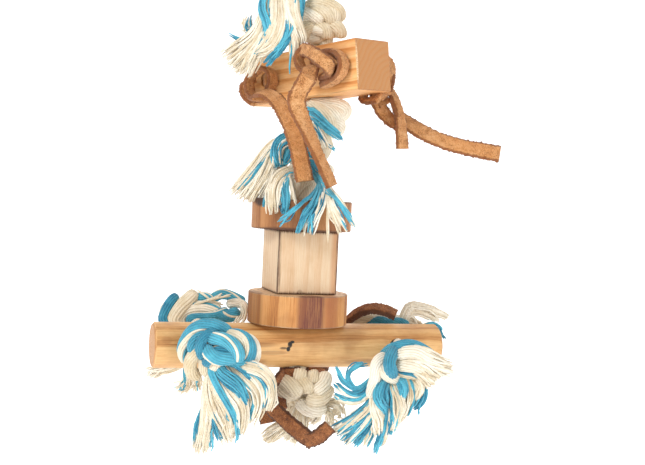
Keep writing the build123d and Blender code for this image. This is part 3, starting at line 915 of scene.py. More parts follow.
strand_piece("end_knot", "lower_rope", ["bottom_knot"],
             (knot_path(on_stack(2, 2, -76), tuple(on_stack(0, 0, 1) - on_stack(0, 0, 0)), 75,
                        (8.6, 8.6, 7.0), -1), 11, ALL_CREAM), [
    ([(-26.5, -1, -317.5), (-24.5, -4, -320.5), (-20.5, -5, -323), (-16, -5, -324)], 3.4, 0, 0.2),
    ([(-23.5, -3, -315), (-19, -6, -316), (-15, -8, -319), (-11, -8, -322.5)], 4.1, 0, 0.2),
    ([(-15, -4, -314), (-10.5, -6, -315.5), (-7, -8, -318), (-6.5, -7, -322)], 3.6, 0, 0.2),
    ([(-12, -3, -310), (-12, -5, -312), (-12, -5, -315)], 4.2, 0, 0.1),
    ([(-17.5, -1, -310.5), (-18, -3, -313.5), (-19.5, -3, -315)], 2.8, 0, 0.1),
    ([(-5.5, -2, -310.5), (-4, -5, -313.5), (-3.5, -6, -317)], 3.4, 0, 0.2),
    ([(1.5, -1, -312), (2, -5, -315.5), (-0.5, -7, -319.5), (-3.5, -8, -322.5)], 4.1, 0, 0.2),
    ([(4, -2, -318.5), (1.5, -6, -323.5), (-3.5, -8, -326), (-8.5, -7, -325)], 4.2, 0, 0.2),
    ([(-13, -4, -326.5), (-10, -6, -329.5), (-6, -7, -331.5), (-1.5, -6, -331.5), (1.5, -3, -329.5)], 3.6,
      0, 0.2),
])


# ------------------------------------------------------------------ tassels on the main rope
frayed_piece("tassel_above", "upper_rope", ["upper_tassel_ends"], rooted((-8, -7, -96), [
    ([(-21, -10, -94), (-29, -12.5, -102.5), (-32, -15, -113), (-28.5, -17, -120.5), (-28, -17, -128),
      (-31.5, -16.5, -134), (-35.5, -16, -137.5)], 44, (2.4, 3.4, 2.4), 1, {"twist": 0.3}),
    ([(-21, -9, -94.5), (-28, -11.5, -104.5), (-30, -13, -117.5), (-35.5, -14, -128.5),
      (-44.5, -13.5, -134), (-53, -13, -140)], 76, (3, 5, 5.4), 0),
    ([(-21, -9, -94.5), (-27.5, -12, -106.5), (-29, -14, -119.5), (-34.5, -15, -132), (-42, -14, -139),
      (-49, -13, -145.5)], 76, (3, 5, 5.4), 0),
    ([(-21, -9, -95.5), (-25.5, -12, -109), (-28, -14, -121.5), (-33, -15, -133.5), (-38, -14.5, -141),
      (-42, -14, -149)], 66, (3, 4.6, 5), 0),
    ([(-21.5, -8, -95.5), (-29, -9, -108), (-34, -10, -121.5), (-37.5, -11, -129.5), (-44, -11.5, -129),
      (-52.5, -12, -124)], 10, (1.4, 1.6, 1), 1),
    ([(-21.5, -8, -95.5), (-30, -9, -110), (-36, -10, -122.5), (-41, -10, -124.5), (-43, -10.5, -119.5),
      (-40.5, -11, -115.5)], 22, (1.6, 2.6, 1.6), 0.4),
    ([(-21.5, -8, -95.5), (-29, -9, -109.5), (-35, -9.5, -123.5), (-40, -10, -123.5), (-38.5, -11, -115)],
      12, (1.4, 2, 1.4), 0.5),
    ([(-19, -10, -95), (-24, -13.5, -106), (-23.5, -16.5, -116.5), (-26.5, -17.5, -126.5),
      (-31, -17, -134), (-36.5, -16, -137)], 66, (3, 4.4, 2.2), 0),
    ([(-18.5, -10, -95), (-20.5, -14, -107.5), (-19.5, -17.5, -120), (-23, -18.5, -130),
      (-28.5, -18, -136), (-35.5, -17, -137)], 66, (3, 4.6, 2.6), 0),
    ([(-17.5, -10, -95), (-19, -15, -109.5), (-17, -18.5, -122.5), (-19, -19.5, -131),
      (-24.5, -19.5, -137.5), (-30.5, -19, -143.5)], 44, (1.4, 3.4, 1.6), 1),
    ([(-16.5, -10, -95), (-15.5, -15, -106), (-15.5, -18.5, -115), (-13, -19.5, -124.5),
      (-10.5, -19.5, -130.5), (-11.5, -19, -132.5)], 60, (2.6, 4, 3.4), 0),
    ([(-16.5, -10, -95), (-16.5, -15, -106), (-16.5, -18, -117), (-15.5, -19, -127), (-14, -18.5, -134),
      (-14.5, -18, -140)], 50, (2.2, 3.4, 3), 0),
    ([(-14, -10, -95), (-10, -15, -105.5), (-11.5, -17, -113), (-10.5, -17, -119.5)], 22, (1.8, 2.4, 0.8),
      1),
    ([(-16, -10, -95), (-13.5, -17, -106), (-14, -18, -114.5)], 14, (1.6, 1.6, 0.7), 1),
    ([(-18.5, -9, -94.5), (-18, -12, -107), (-19, -13, -115)], 24, (2.6, 2.8, 2), 1),
    ([(-16, -18, -117), (-15, -20, -128.5), (-17, -19, -140), (-17, -18, -148.5)], 2, (0.4, 0.4, 0.3), 1),
]))
frayed_piece("tassel_middle_left", "middle", ["middle_tassel_left_ends"], rooted((-6, -5, -193), [
    ([(-11.5, -8, -186.5), (-17.5, -11, -182), (-23, -12.5, -184), (-26, -13, -190.5),
      (-23.5, -12, -199)], 60, (2.6, 4.4, 2.8), 0.5, {"twist": 0.25, "stripes": 4}),
    ([(-11.5, -8, -188.5), (-17.5, -9.5, -187), (-19, -10.5, -193.5), (-22.5, -11, -198.5)], 34,
      (2.4, 3, 2), 0.6, {"stripes": 3}),
    ([(-14, -7, -184), (-24, -8, -184), (-30, -9, -191), (-36, -9, -199.5), (-42, -8.5, -207),
      (-48.5, -8, -213.5)], 72, (2.6, 4.4, 4.6), 0),
    ([(-14, -7, -185), (-24, -9, -187), (-28.5, -10, -195.5), (-32.5, -10, -203), (-36.5, -9.5, -209.5),
      (-42, -9, -216)], 70, (2.6, 4.4, 4.2), 0),
    ([(-14, -7, -186), (-23.5, -9, -189.5), (-26.5, -10, -198), (-29, -11, -205.5), (-33.5, -10.5, -212),
      (-36, -10, -218)], 50, (2.4, 3.6, 3.2), 0),
    ([(-14, -8, -184), (-26, -10, -187), (-34, -11, -197), (-40, -11, -205.5), (-46.5, -10, -210.5)], 9,
      (1.4, 1.5, 1.1), 1),
]))
frayed_piece("tassel_middle_front", "middle", ["middle_tassel_front_ends"], rooted((-5, -8, -199), [
    ([(-10.5, -14, -201.5), (-19, -18.5, -201.5), (-23.5, -22.5, -206), (-26, -26.5, -213.5),
      (-25.5, -31, -224)], 66, (2.6, 4.6, 3.6), 0),
    ([(-10.5, -14, -201.5), (-19, -19, -201), (-20.5, -23.5, -209.5), (-18.5, -27.5, -216),
      (-20, -31.5, -224)], 44, (1.8, 3.2, 1.8), 1),
    ([(-10.5, -13, -200.5), (-17, -16, -200), (-21, -19.5, -204), (-22.5, -23.5, -212.5),
      (-21.5, -28, -220)], 40, (2.2, 3.4, 2.6), 0),
    ([(-11.5, -13, -202), (-20.5, -17, -200.5), (-27, -20, -206.5), (-29, -23, -213.5),
      (-31.5, -27, -220)], 9, (1.4, 1.4, 1.2), 0.8),
    ([(-10.5, -13, -195.5), (-19, -17.5, -198.5), (-16.5, -22.5, -207), (-14.5, -27.5, -215),
      (-13, -31.5, -220)], 7, (1.4, 1, 0.6), 0),
    ([(-10.5, -12, -194), (-15.5, -15.5, -195.5), (-15, -18, -207.5), (-14, -20, -212.5)], 22,
      (1.8, 1.8, 1.4), 0),
]))
frayed_piece("tassel_middle_right", "middle", ["middle_tassel_right_ends"], rooted((-4, -8, -199), [
    ([(-2.5, -14, -202), (1, -19.8, -207), (-0.5, -27.5, -213.5), (-6.5, -34, -222.5),
      (-10.5, -36.5, -227.5), (-12.5, -37.5, -234.5)], 26, (2.2, 2.6, 1.3), 1, {"parts": 2}),
    ([(-2.5, -14, -202), (-0.5, -20.5, -208), (-5.5, -31, -215), (-13.5, -36.5, -221),
      (-23, -36.5, -228)], 8, (1.4, 1.1, 0.5), 1, {"parts": 2}),
    ([(-2.5, -14, -203), (-0.5, -19.8, -210.5), (-9, -32.5, -217), (-17, -36.5, -224),
      (-22, -35.5, -231)], 7, (1.4, 0.9, 0.5), 1, {"parts": 2}),
    ([(-2.5, -14, -203), (2, -21.8, -209.5), (1, -28, -213.8), (-0.5, -34, -219.5), (-4.5, -36.5, -226.5),
      (-6, -37.5, -234.5)], 30, (2.2, 3, 1.7), 0.6, {"stripes": 3, "parts": 4}),
    ([(-2.5, -14, -203), (1, -20.8, -209.5), (-1.5, -28.5, -215), (-4.5, -33, -222.5),
      (-8.5, -34.5, -229), (-9.5, -35.5, -235.5)], 12, (1.6, 1.6, 1.1), 0, {"parts": 2}),
    ([(-1.5, -14, -202), (2.5, -23.8, -210), (7.5, -33.5, -216), (12.5, -34.5, -222.5),
      (17.5, -34.5, -231.5)], 20, (2.2, 2.2, 0.9), 0.6, {"stripes": 2, "parts": 2}),
    ([(-1.5, -14, -203), (3, -23.8, -210.5), (4.5, -29, -214.5), (6, -35, -220), (10, -35.5, -226.5),
      (13.5, -35.5, -233)], 22, (2.2, 2.4, 1.5), -0.35, {"stripes": 2, "parts": 3}),
    ([(-1.5, -14, -203), (3, -22.8, -210.5), (4, -29.5, -215), (5, -35, -222.5), (8, -35.5, -229),
      (10, -35.5, -235)], 16, (2, 1.8, 1.5), 0, {"parts": 3}),
    ([(-1.5, -14, -203), (3, -22.8, -211), (3, -29.5, -215.5), (3, -35, -224), (3.5, -36.5, -239)], 3,
      (0.6, 0.5, 0.4), 0),
]))
frayed_piece("tassel_middle_upper", "middle", ["middle_tassel_upper_ends"], rooted((-6, -7, -190), [
    ([(-9, -12, -174), (-9, -16, -167.5), (-3, -18.5, -170.5), (2, -20, -177), (11, -20, -183.5)], 34,
      (2.6, 3.2, 2), 1),
    ([(-9, -12, -174), (-9, -15, -169), (-3, -17.5, -173.5), (1, -19, -180.5), (5, -19, -188.5)], 30,
      (2.4, 2.6, 2.4), 0.1),
    ([(-9, -12, -174), (-8, -14, -170), (-4, -16.5, -177), (1, -18, -184.5), (7.5, -19, -190)], 12,
      (1.8, 1.6, 1.4), 1),
    ([(-9, -12, -174), (-7.5, -13.5, -170.5), (-6.5, -14.5, -180.5), (-5.5, -15, -190.5),
      (-5.5, -15, -195.5)], 10, (1.6, 1.4, 1), 0.7),
]))
frayed_piece("end_knot_frays", "lower_rope", ["bottom_rope_ends"], [
    ([(-12, 2, -329), (-14, 0, -336), (-20, -2, -341), (-27, -3, -345), (-32, -3, -349)], 75,
      (3.6, 4.6, 4.4), 0),
    ([(-11, 2, -329), (-13, 0, -338), (-15, -1, -344), (-18, -2, -350)], 62, (3.4, 4.2, 4), 0),
    ([(-10, 2, -329), (-10, 0, -337), (-12, -1, -345), (-13, -1, -349)], 45, (3, 3.6, 3.4), 0),
    ([(1.5, -1, -330), (4.5, -2, -328), (8, -3, -329), (10, -3, -332), (9.5, -3, -335)], 26,
      (2.2, 2.8, 2.6), 0, {"frizz": 1.3}),
    ([(-1.5, -2, -332.5), (1.5, -3, -332), (4.5, -4, -333.5), (4.5, -4, -337), (6.5, -4, -339)], 24,
      (2.2, 2.6, 2.2), 0, {"frizz": 1.3}),
    ([(-5.5, -2, -332.5), (-2.5, -3, -334), (-4, -3, -336.5), (-6.5, -2, -338.5)], 22, (2.2, 3, 3), 0,
      {"frizz": 1.3}),
])


# ------------------------------------------------------------------ ropes through the perch
def cross_rope(side, x, phase):
    """One short rope through the perch at x, with its knot behind; phase turns the knot's lay."""
    depth = -47.1
    body = f"{side}_cross"
    rope_piece(f"{side}_rope_in_perch", body, [f"{side}_cross_rope"], [
        (straight(on_stack(x, -20, depth), on_stack(x, 20, depth)), 10.0, TWO_COLOUR)])
    knot = knot_path(on_stack(x, 20.7, depth), ALONG, 60, (7.4, 6.6, 7.4))
    rope_piece(f"{side}_tie_back", body, [f"{side}_back_knot"], [(knot, 9.0, TWO_COLOUR, phase)])


LEFT_X, RIGHT_X = -48.2, 56.3
ALONG = tuple(on_stack(1, 0, 0) - on_stack(0, 0, 0))
cross_rope("left", LEFT_X, 1)
cross_rope("right", RIGHT_X, 2)
strand_piece("left_tie_front", "left_cross", ["left_front_knot"],
            (knot_path(on_stack(LEFT_X, -23.0, -46.5), ALONG, 150, (9.0, 5.6, 8.0)), 9.5, TWO_COLOUR), [
    ([(-70.5, -33, -301.5), (-72.5, -37, -295.5), (-70, -40, -289), (-65.5, -41.5, -283),
      (-59, -41.5, -281), (-52.5, -40.5, -282), (-47, -38, -285.5)], 3.3, 0.8, 0.5, 0.85),
    ([(-56.5, -40, -284), (-60.5, -41.5, -285.5), (-64.5, -42.5, -288.5), (-66.5, -43, -293.5),
      (-64.5, -42, -296)], 3.2, 0.6, 0.4, 0.2),
    ([(-61, -43, -290.5), (-65, -43, -295.5), (-68, -42, -301), (-67, -40, -307), (-63.5, -36, -308.5)],
      3.3, 0.12, 0.3, 0.5),
    ([(-60, -42, -297.5), (-61, -43, -302), (-59, -42, -306.5), (-57, -38, -305.5)], 2.7, 0, 0.3, 0.5),
    ([(-54, -42, -285.5), (-58, -45, -285), (-61.5, -46, -289), (-62.5, -46, -294), (-60.5, -43, -298.5)],
      2.6, 0.95, 0.3, 0.1),
    ([(-58, -43, -288), (-53.5, -45.5, -287.5), (-48.5, -46.5, -288.5), (-44, -46.5, -292),
      (-42, -45.5, -296.5), (-42.5, -44, -299.5)], 3.5, 0.9),
    ([(-60, -43, -292), (-57.5, -46.5, -295.5), (-53.5, -47, -298), (-48, -46, -298), (-43, -43, -297.5)],
      3.5, 0.82, 0.3, 0.65),
    ([(-49.5, -39, -287), (-44.5, -41.5, -286), (-39, -42.5, -288), (-36.5, -42.5, -293),
      (-37.5, -41, -298.5), (-39.5, -38, -301)], 3.4, 0.72, 0.4, 0.85),
    ([(-42, -35, -288), (-36.5, -38, -289), (-34, -39, -294), (-35, -37, -300), (-38, -34, -303)], 3,
      0.15, 0.3, 0.8),
    ([(-49.5, -40, -300), (-45, -43, -301), (-39.5, -42, -300), (-35.5, -38, -302.5)], 2.4, 0.7, 0.3,
      0.4),
    ([(-59, -41, -301), (-55, -43.5, -295), (-49, -44, -293), (-44, -43, -294)], 3.4, 0.8, 0.3, 0.1),
])
strand_piece("right_tie_front", "right_cross", ["right_front_knot"],
            (knot_path(on_stack(RIGHT_X, -20.0, -51.0), ALONG, 110, (6.6, 5.4, 6.6)), 8.5, TWO_COLOUR), [
    ([(32.5, -13, -301), (35.5, -18, -296.5), (41.5, -20, -294), (47.5, -20.5, -293),
      (54.5, -19.5, -295.5), (61, -17, -300.5)], 2.5, 1),
    ([(39, -19, -296), (36, -26, -300.5), (36, -27, -305.5), (38.5, -22, -310.5)], 3.3, 1, 0.1),
    ([(35.5, -17, -300), (31, -19.5, -301.5), (28.5, -21, -306), (29, -21, -311.5), (27.5, -20.5, -316.5),
      (26, -20, -322.5)], 3.2, 0.12, 0.3, 0.2),
    ([(40, -20, -300), (45, -22, -297.5), (51, -22.5, -297), (57.5, -21, -300.5), (62.5, -18, -305)], 3.6,
      0, 0.2),
    ([(40.5, -20, -305), (45, -23, -304.5), (50, -22, -305), (56, -18, -307.5)], 3.4, 0, 0.2),
    ([(39.5, -18, -308.5), (43.5, -21, -309.5), (48, -20, -309.5), (52.5, -16, -311.5)], 2.6, 0.4, 0.2,
      0.3),
    ([(32.5, -19, -305), (33.5, -23, -308.5), (37, -23, -311.5), (42.5, -18, -313)], 3, 0.1, 0.2, 0.3),
])
frayed_piece("left_front_tassel", "left_cross", ["left_front_ends"], [
    ([(-53.5, -42, -299), (-52.5, -44, -304.5), (-47.5, -45, -308.5), (-42.5, -45, -313),
      (-39.5, -44.5, -319), (-39.5, -44, -323.5)], 54, (2.6, 4.6, 1.6), 0.96),
    ([(-52.5, -42, -304), (-49.5, -43, -311), (-45, -44, -317), (-41.5, -44, -323), (-41.5, -43.5, -330),
      (-43, -43, -337.5)], 74, (2.4, 5, 3.2), 0),
    ([(-56, -43, -300), (-57, -44.5, -304), (-54.5, -46, -309.5), (-51, -45.5, -316.5),
      (-46.5, -45, -324.5), (-43, -44.5, -332.5), (-43, -44, -340.5)], 22, (2, 1.8, 1.3), 1),
    ([(-55.5, -42, -302), (-56, -43.5, -309), (-53, -44, -316.5), (-49, -43.5, -323),
      (-46, -42.5, -331.5), (-45.5, -42, -340.5)], 60, (2.2, 4, 3), 0),
    ([(-55.5, -42, -302), (-57.5, -42.5, -311), (-57, -43, -319), (-55, -42, -327), (-51, -41.5, -334.5),
      (-48, -41, -342.5)], 60, (2.4, 4.2, 3.2), 0),
    ([(-55, -41, -302), (-57, -42, -314), (-56.5, -42.5, -327), (-54, -43, -334), (-51.5, -42, -340.5)],
      18, (1, 1.8, 2.2), 1),
    ([(-56, -41, -302), (-58, -41.5, -314), (-58, -42, -323.5), (-59, -41, -331), (-61.5, -40.5, -340),
      (-63.5, -40, -348)], 78, (2.4, 4.6, 4.6), 0),
    *rooted((-56.5, -40, -302), [
        ([(-60, -40.5, -317), (-62, -41, -326), (-64.5, -42, -332), (-65.5, -41.5, -339),
          (-65.5, -41, -343.5)], 7, (0.9, 1, 1.2), 1),
        ([(-58.5, -40.5, -317), (-61.5, -41, -327.5), (-64.5, -42, -334), (-63, -41.5, -339),
          (-62.5, -41, -343.5)], 6, (0.9, 1, 1), 1),
        ([(-57.5, -41, -315.5), (-57.5, -41, -324.5), (-57, -41, -334.5), (-56.5, -40, -345)], 12,
          (1, 1.4, 1.8), 0.8)]),
    ([(-47.5, -40, -299.5), (-39.5, -42.5, -299.5), (-32, -44, -301.5), (-26.5, -43, -308),
      (-24.5, -42, -313.5), (-27.5, -41, -320.5)], 4, (1, 0.8, 0.5), 1),
    ([(-48, -40, -300), (-41.5, -42, -302), (-33, -43, -304), (-27.5, -42, -309), (-26, -41, -317),
      (-29, -40, -325)], 64, (2.2, 4.4, 3.4), 0.08),
    ([(-48, -40, -300), (-42.5, -41, -305), (-36.5, -42, -309.5), (-32.5, -41, -317),
      (-33.5, -40.5, -324.5), (-37.5, -40, -332)], 70, (2.2, 4.8, 4), 0.12),
    ([(-48.5, -40, -300), (-44.5, -41, -306), (-40, -42, -312), (-36.5, -41, -319.5),
      (-37.5, -40.5, -326.5), (-40.5, -40, -332)], 54, (2, 4.2, 3), 0),
    ([(-48, -42, -300), (-43, -45, -303), (-38.5, -44, -306.5), (-34.5, -42, -311.5)], 12,
      (1.6, 1.4, 0.8), 1),
    ([(-48, -40, -300), (-45, -41, -307), (-41, -41, -312.5), (-38.5, -41, -318), (-39.5, -40, -322.5)],
      26, (1.6, 2.6, 1), 1),
])
strand_piece("left_back_loops", "left_cross", ["left_back_upper_ends"], None, [
    ([(-66, 9, -297), (-80, 9, -293), (-89, 8, -283), (-88, 9, -280), (-86.5, 10, -275.5),
      (-83.5, 11, -270.5), (-81.5, 12, -269.5)], 3.6, 1, 0.2),
    ([(-66, 9, -296), (-76, 9, -292), (-83.5, 7, -284), (-81.5, 8, -279.5), (-78.5, 9, -275),
      (-74.5, 10, -271), (-71, 11, -267)], 4.3, 0.08, 0.15, 0.2),
    ([(-76.5, 11, -276), (-73, 12, -273), (-69.5, 12, -270), (-65, 12, -270), (-62, 12, -272)], 2.8, 0.95,
      0.2, 0.1),
    ([(-63, 13, -272), (-59.5, 14.5, -269), (-55.5, 15.5, -268.5), (-50, 16, -270.5),
      (-44, 15.5, -273.5)], 2.9, 0.9),
    ([(-54, 11, -274.5), (-49.5, 12, -273.5), (-45, 12.5, -274), (-43.5, 12, -276.5),
      (-43.5, 11, -279.5)], 2.6, 0.1, 0.2, 0.3),
    ([(-64, 10, -296), (-75, 11, -290), (-81, 9, -282.5), (-76.5, 10, -277.5), (-69.5, 10, -275.5),
      (-63, 10, -275.5), (-57, 9, -277.5)], 3.6, 0.05, 0.2),
    ([(-64, 9, -295), (-72, 8, -289), (-75, 7, -282), (-70, 7, -281), (-63.5, 7, -281),
      (-57.5, 7, -279.5), (-53, 8, -276.5)], 2.5, 0.95, 0.3, 0.1),
    ([(-59.5, 9, -279), (-55, 8, -280.5), (-50.5, 8, -280.5), (-46, 8, -278)], 3.6, 0.9, 0.4),
], [
    ([(-45, 11, -274), (-43.5, 10, -276.5), (-44, 7, -280.5), (-45.5, 4, -283.5), (-47, 1, -286)], 14,
      (1.6, 2.6, 3.6), 0),
    ([(-70, 8, -266), (-66, 7, -268.5), (-61.5, 7, -272), (-53.5, 8, -274.5)], 3, (0.4, 0.6, 0.4), 0),
    ([(-71.5, 7, -274), (-65.5, 6, -272), (-59.5, 6, -270.5), (-50.5, 7, -269)], 4, (0.4, 0.7, 0.6), 0),
    ([(-64, 7, -272), (-60.5, 6, -270), (-56, 7, -268)], 3, (0.4, 0.5, 0.4), 0),
    ([(-66, 11, -297), (-82, 12, -292), (-90, 11, -283), (-90.5, 12, -279), (-89, 13, -275),
      (-86, 14, -272)], 30, (3, 3.4, 2.2), 0),
])
frayed_piece("left_back_frays", "left_cross", ["left_back_lower_ends"], rooted((-66, 8, -299), [
    ([(-74, 8, -301), (-79, 11, -307), (-86, 13, -311), (-93, 14, -312), (-99, 14, -314)], 42,
      (2.4, 3.2, 3), 0, {"frizz": 1.3}),
    ([(-73, 8, -302), (-75, 11, -310), (-75, 13, -316), (-77, 14, -321), (-82, 14, -324)], 50,
      (2.6, 3.8, 3.6), 0.12, {"frizz": 1.3}),
    ([(-72, 8, -302), (-71, 11, -311), (-70, 12, -318), (-70, 12, -324)], 37, (2.4, 3.2, 3), 0.05),
]))
frayed_piece("right_front_tassel", "right_cross", ["right_front_ends"], [
    ([(41, -20, -301.5), (47, -22, -298), (53.5, -22.5, -298.5), (60.5, -21.5, -302.5), (66, -20, -306),
      (70.5, -18, -307)], 64, (3, 4.6, 5), 0),
    ([(41, -20, -303), (47, -22, -301.5), (53, -22, -303), (59, -20, -308), (63, -18, -313)], 60,
      (3, 4.4, 4.6), 0),
    ([(40.5, -20, -305), (46, -21.5, -305), (51, -21, -307), (56, -19.5, -311), (60, -18, -316)], 44,
      (2.6, 3.6, 3.6), 0),
    ([(35.5, -19, -313), (32.5, -23.5, -315.5), (31, -25, -320), (33, -24, -326), (34.5, -22, -331.5)],
      50, (2, 4.6, 0.7), 1),
    ([(33, -18, -316), (29, -21, -322), (29.5, -22.5, -328.5), (31.5, -22, -334.5), (30.5, -20, -343)],
      66, (1.6, 4.4, 2.6), 0),
    ([(37.5, -18, -313), (39, -22.5, -318), (41, -24, -324.5), (39.5, -23, -333), (38, -20, -340)], 64,
      (1.6, 4.6, 1.8), 0.15),
    ([(40.5, -19, -311), (43.5, -24, -314), (43.5, -24, -319), (43, -22, -325)], 40, (2.4, 3.2, 0.7), 1),
    ([(45.5, -18, -311), (47, -20, -317), (46, -21.5, -323.5), (44, -21.5, -329.5), (42, -20, -334)], 54,
      (2, 4, 2), -0.22),
    ([(49.5, -16, -310.5), (54, -17.5, -315), (55, -18.5, -320.5), (52.5, -19, -325.5),
      (49, -18, -328.5)], 30, (1.8, 2.8, 2.2), 1),
    ([(48.5, -16, -310.5), (52.5, -20, -314.5), (52.5, -20, -320), (49.5, -19, -324)], 40, (2, 3.2, 1.4),
      0),
    ([(35.5, -18, -313), (34.5, -20, -329), (33, -21, -338.5), (30, -20.5, -347.5), (28.5, -19, -352.5)],
      24, (1.2, 2, 1.6), 1),
    ([(36.5, -18, -313), (36.5, -21, -326), (35, -22, -334), (33.5, -21, -341.5), (31.5, -19, -348)], 34,
      (1.4, 2.8, 2.2), 0.3),
    ([(37, -17, -313), (38.5, -19, -329), (40, -19, -337), (37, -18, -343)], 16, (1, 1.8, 1), 1),
    ([(34, -17, -313), (28, -20, -325.5), (21, -20.5, -331.5), (13.5, -19.5, -336.5), (6.5, -18, -341)],
      66, (1.8, 3.8, 4), 0.22, {"stripes": 2}),
    ([(34, -17, -313), (28, -19, -328), (23, -19.5, -335), (17, -18.5, -341), (11, -17, -347)], 60,
      (1.8, 3.6, 3.8), 0.35, {"stripes": 2}),
    ([(33, -18, -313), (27.5, -20, -323.5), (22, -19, -329)], 16, (1.2, 1.6, 1), 1),
    ([(33, -18, -313), (27, -21, -328), (18.5, -20, -337)], 14, (1.2, 1.4, 1), 1),
    ([(34, -16, -313.5), (28, -18, -329.5), (24.5, -18.5, -339), (21, -18, -344), (17, -17, -349)], 36,
      (1.4, 2.8, 3), 0.8),
    ([(34.5, -16, -313.5), (30, -17.5, -329.5), (27.5, -18, -338), (25, -18, -344), (22.5, -17, -349)],
      34, (1.4, 2.8, 2.8), 0.4, {"stripes": 2}),
    ([(29, -17, -311), (27, -19, -319.5), (19, -20, -325), (11, -19.5, -323.5), (6, -18, -320.5)], 20,
      (2, 1.8, 1.4), 0.6),
    ([(29, -17, -311), (25, -19, -319), (18.5, -20, -321.5), (12.5, -19.5, -319.5), (6.5, -18, -315)], 22,
      (2, 1.8, 1.2), 0.5),
    *rooted((28.5, -17, -311), [
        ([(22, -18.5, -320.5), (14.5, -19, -316.5), (9.5, -18.5, -311), (7.5, -17, -305.5)], 10,
          (1.6, 1.4, 1), 0.8),
        ([(20, -18, -319.5), (14, -19, -314.5), (13.5, -19, -308.5), (18.5, -18, -304.5),
          (22.5, -17, -303)], 8, (1.4, 1.4, 1), 1),
        ([(20.5, -17.5, -320), (14.5, -18, -314.5), (14.5, -18, -308.5), (19.5, -17, -305.5),
          (24.5, -16, -305)], 6, (1.4, 1, 0.8), 1)]),
])
strand_piece("right_back_tuft", "right_cross", ["right_back_ends"], None, [
    ([(32, 36, -297), (22, 35, -296), (16.5, 33, -291), (21, 34, -286.5), (26, 34, -284.5),
      (31, 34, -285)], 3.2, 0, 0.6),
    ([(36, 37, -297), (27, 37, -296), (23.5, 35, -290.5), (28, 36, -285), (34.5, 36, -283),
      (41.5, 36, -284), (48, 35, -286)], 3, 0.05, 0.6),
    ([(26.5, 32, -290.5), (31, 32, -287), (35, 32, -285.5), (39.5, 32, -287.5)], 3.2, 0.95, 0.4),
    ([(38, 32, -288), (42, 32, -286.5), (46.5, 32, -286.5), (51, 32, -289)], 3, 0.95, 0.4),
], [
    ([(38, 37, -293), (46, 36, -289), (49.5, 34, -282), (51.5, 35, -277.5), (56, 36, -277),
      (63, 36, -278.5), (69, 35, -281), (74.5, 34, -283.5)], 70, (2, 3.4, 2), 0),
    ([(38, 37, -294), (46, 36, -290), (49, 34, -283), (53, 35, -280.5), (58.5, 35, -280.5),
      (64, 35, -283.5), (69.5, 34, -285.5)], 40, (1.8, 2.6, 1.6), 0),
    ([(40, 37, -294), (46, 36, -289), (51.5, 35, -284), (55, 35, -286), (59, 35, -289)], 24,
      (1.6, 2.4, 2.4), 0),
    ([(58.5, 33, -289.5), (61.5, 33, -288), (65, 33, -287.5), (69, 32, -289), (70, 31, -292)], 20,
      (1.4, 1.8, 1), 0.9),
    ([(70, 30, -291), (71.5, 30, -294.5), (72.5, 30, -296)], 4, (0.7, 0.8, 0.6), 1),
])


def lace_tail(name, body, replaced, points, wides, cord=True, leather=TAN_LEATHER, **shape):
    straps = [dict(points=points, wides=wides, **shape)]
    piece, (path,) = strap_piece(name, body, [replaced], straps, leather)


lace_tail("left_lace_hanging", "left_tail", "left_lace_tail",
          [(-35, 1, -156.5), (-32, -6, -156), (-26, -10, -159.5), (-20, -14, -167.5),
           (-15, -20, -179.5), (-11.5, -24, -192.5), (-9, -26, -206.5)],
          [(0.5, 0.8, 0.3), (0.5, 0.5, 0.6), (0.8, 0.2, 0.5), (1, 0.2, 0.2), (1, 0.25, 0)])
lace_tail("front_lace_hanging", "front_tail", "right_lace_front_tail",
          [(-7, -37, -153), (-12, -36.5, -160.5), (-13.5, -36, -167), (-8.5, -34.5, -178),
           (-3, -33.5, -190.5), (5.5, -32, -209.5)],
          [(1, 0.2, -0.5), (1, 0.3, 0), (0.8, 0.7, 0), (0.6, 0.8, 0), (0.6, 0.8, 0.1)], thick=3.0)
lace_tail("short_lace_hanging", "short_tail", "right_lace_short_tail",
          [(40.5, 1.5, -160), (43, 0, -167), (44.4, 0, -176), (45, 0, -187)],
          [(0.6, 0.8, 0), (0.7, 0.7, 0), (0.8, 0.5, 0)], cord=False, width=8.5)
lace_tail("long_lace_reaching", "long_tail", "right_lace_long_tail",
          [(43, 8.5, -168), (55, 8, -176.5), (71, 7, -183.5), (86, 6, -187), (100, 5, -189.5)],
          [(0, 0.5, 1), (0, 0.3, 1)])
lace_tail("dark_lace_upper", "lower_rope", "bottom_lace_upper_tail",
          [(3, 26.5, -306), (7, 30.5, -297), (13, 30, -287), (22, 25.5, -279), (33, 22, -276.5),
           (43, 21, -281)], [(0.4, 1, 0.2), (0, 1, 0.4), (0, 0.7, 0.7)], cord=False,
          leather=BROWN_LEATHER, width=7.5, thick=4.2)
strap_piece("dark_lace_folded", "bottom_strap", ["bottom_lace_strap"], [
    dict(points=[(-31, -19, -323.5), (-21, -21, -332.5), (-12, -22, -340.5), (-4, -22, -346)],
         wides=[(0.5, -0.2, 1), (0.6, -0.2, 1), (0.6, -0.3, 0.8)], width=9.0),
    dict(points=[(-8.5, -22.5, -344.5), (-4, -24, -344), (0.5, -25, -340.5), (4.5, -25, -336.5)],
         wides=[(0.4, -0.2, 1), (-0.4, -0.1, 1), (-0.7, -0.1, 0.8)], width=8.2, thick=2.6),
], BROWN_LEATHER)
lace_tail("dark_lace_short", "bottom_short", "bottom_lace_short_tail",
          [(-27, -8, -315), (-31.5, -12, -325), (-29, -14, -337)], [(1, -0.4, 0.2), (1, -0.4, 0)],
          cord=False, leather=BROWN_LEATHER)
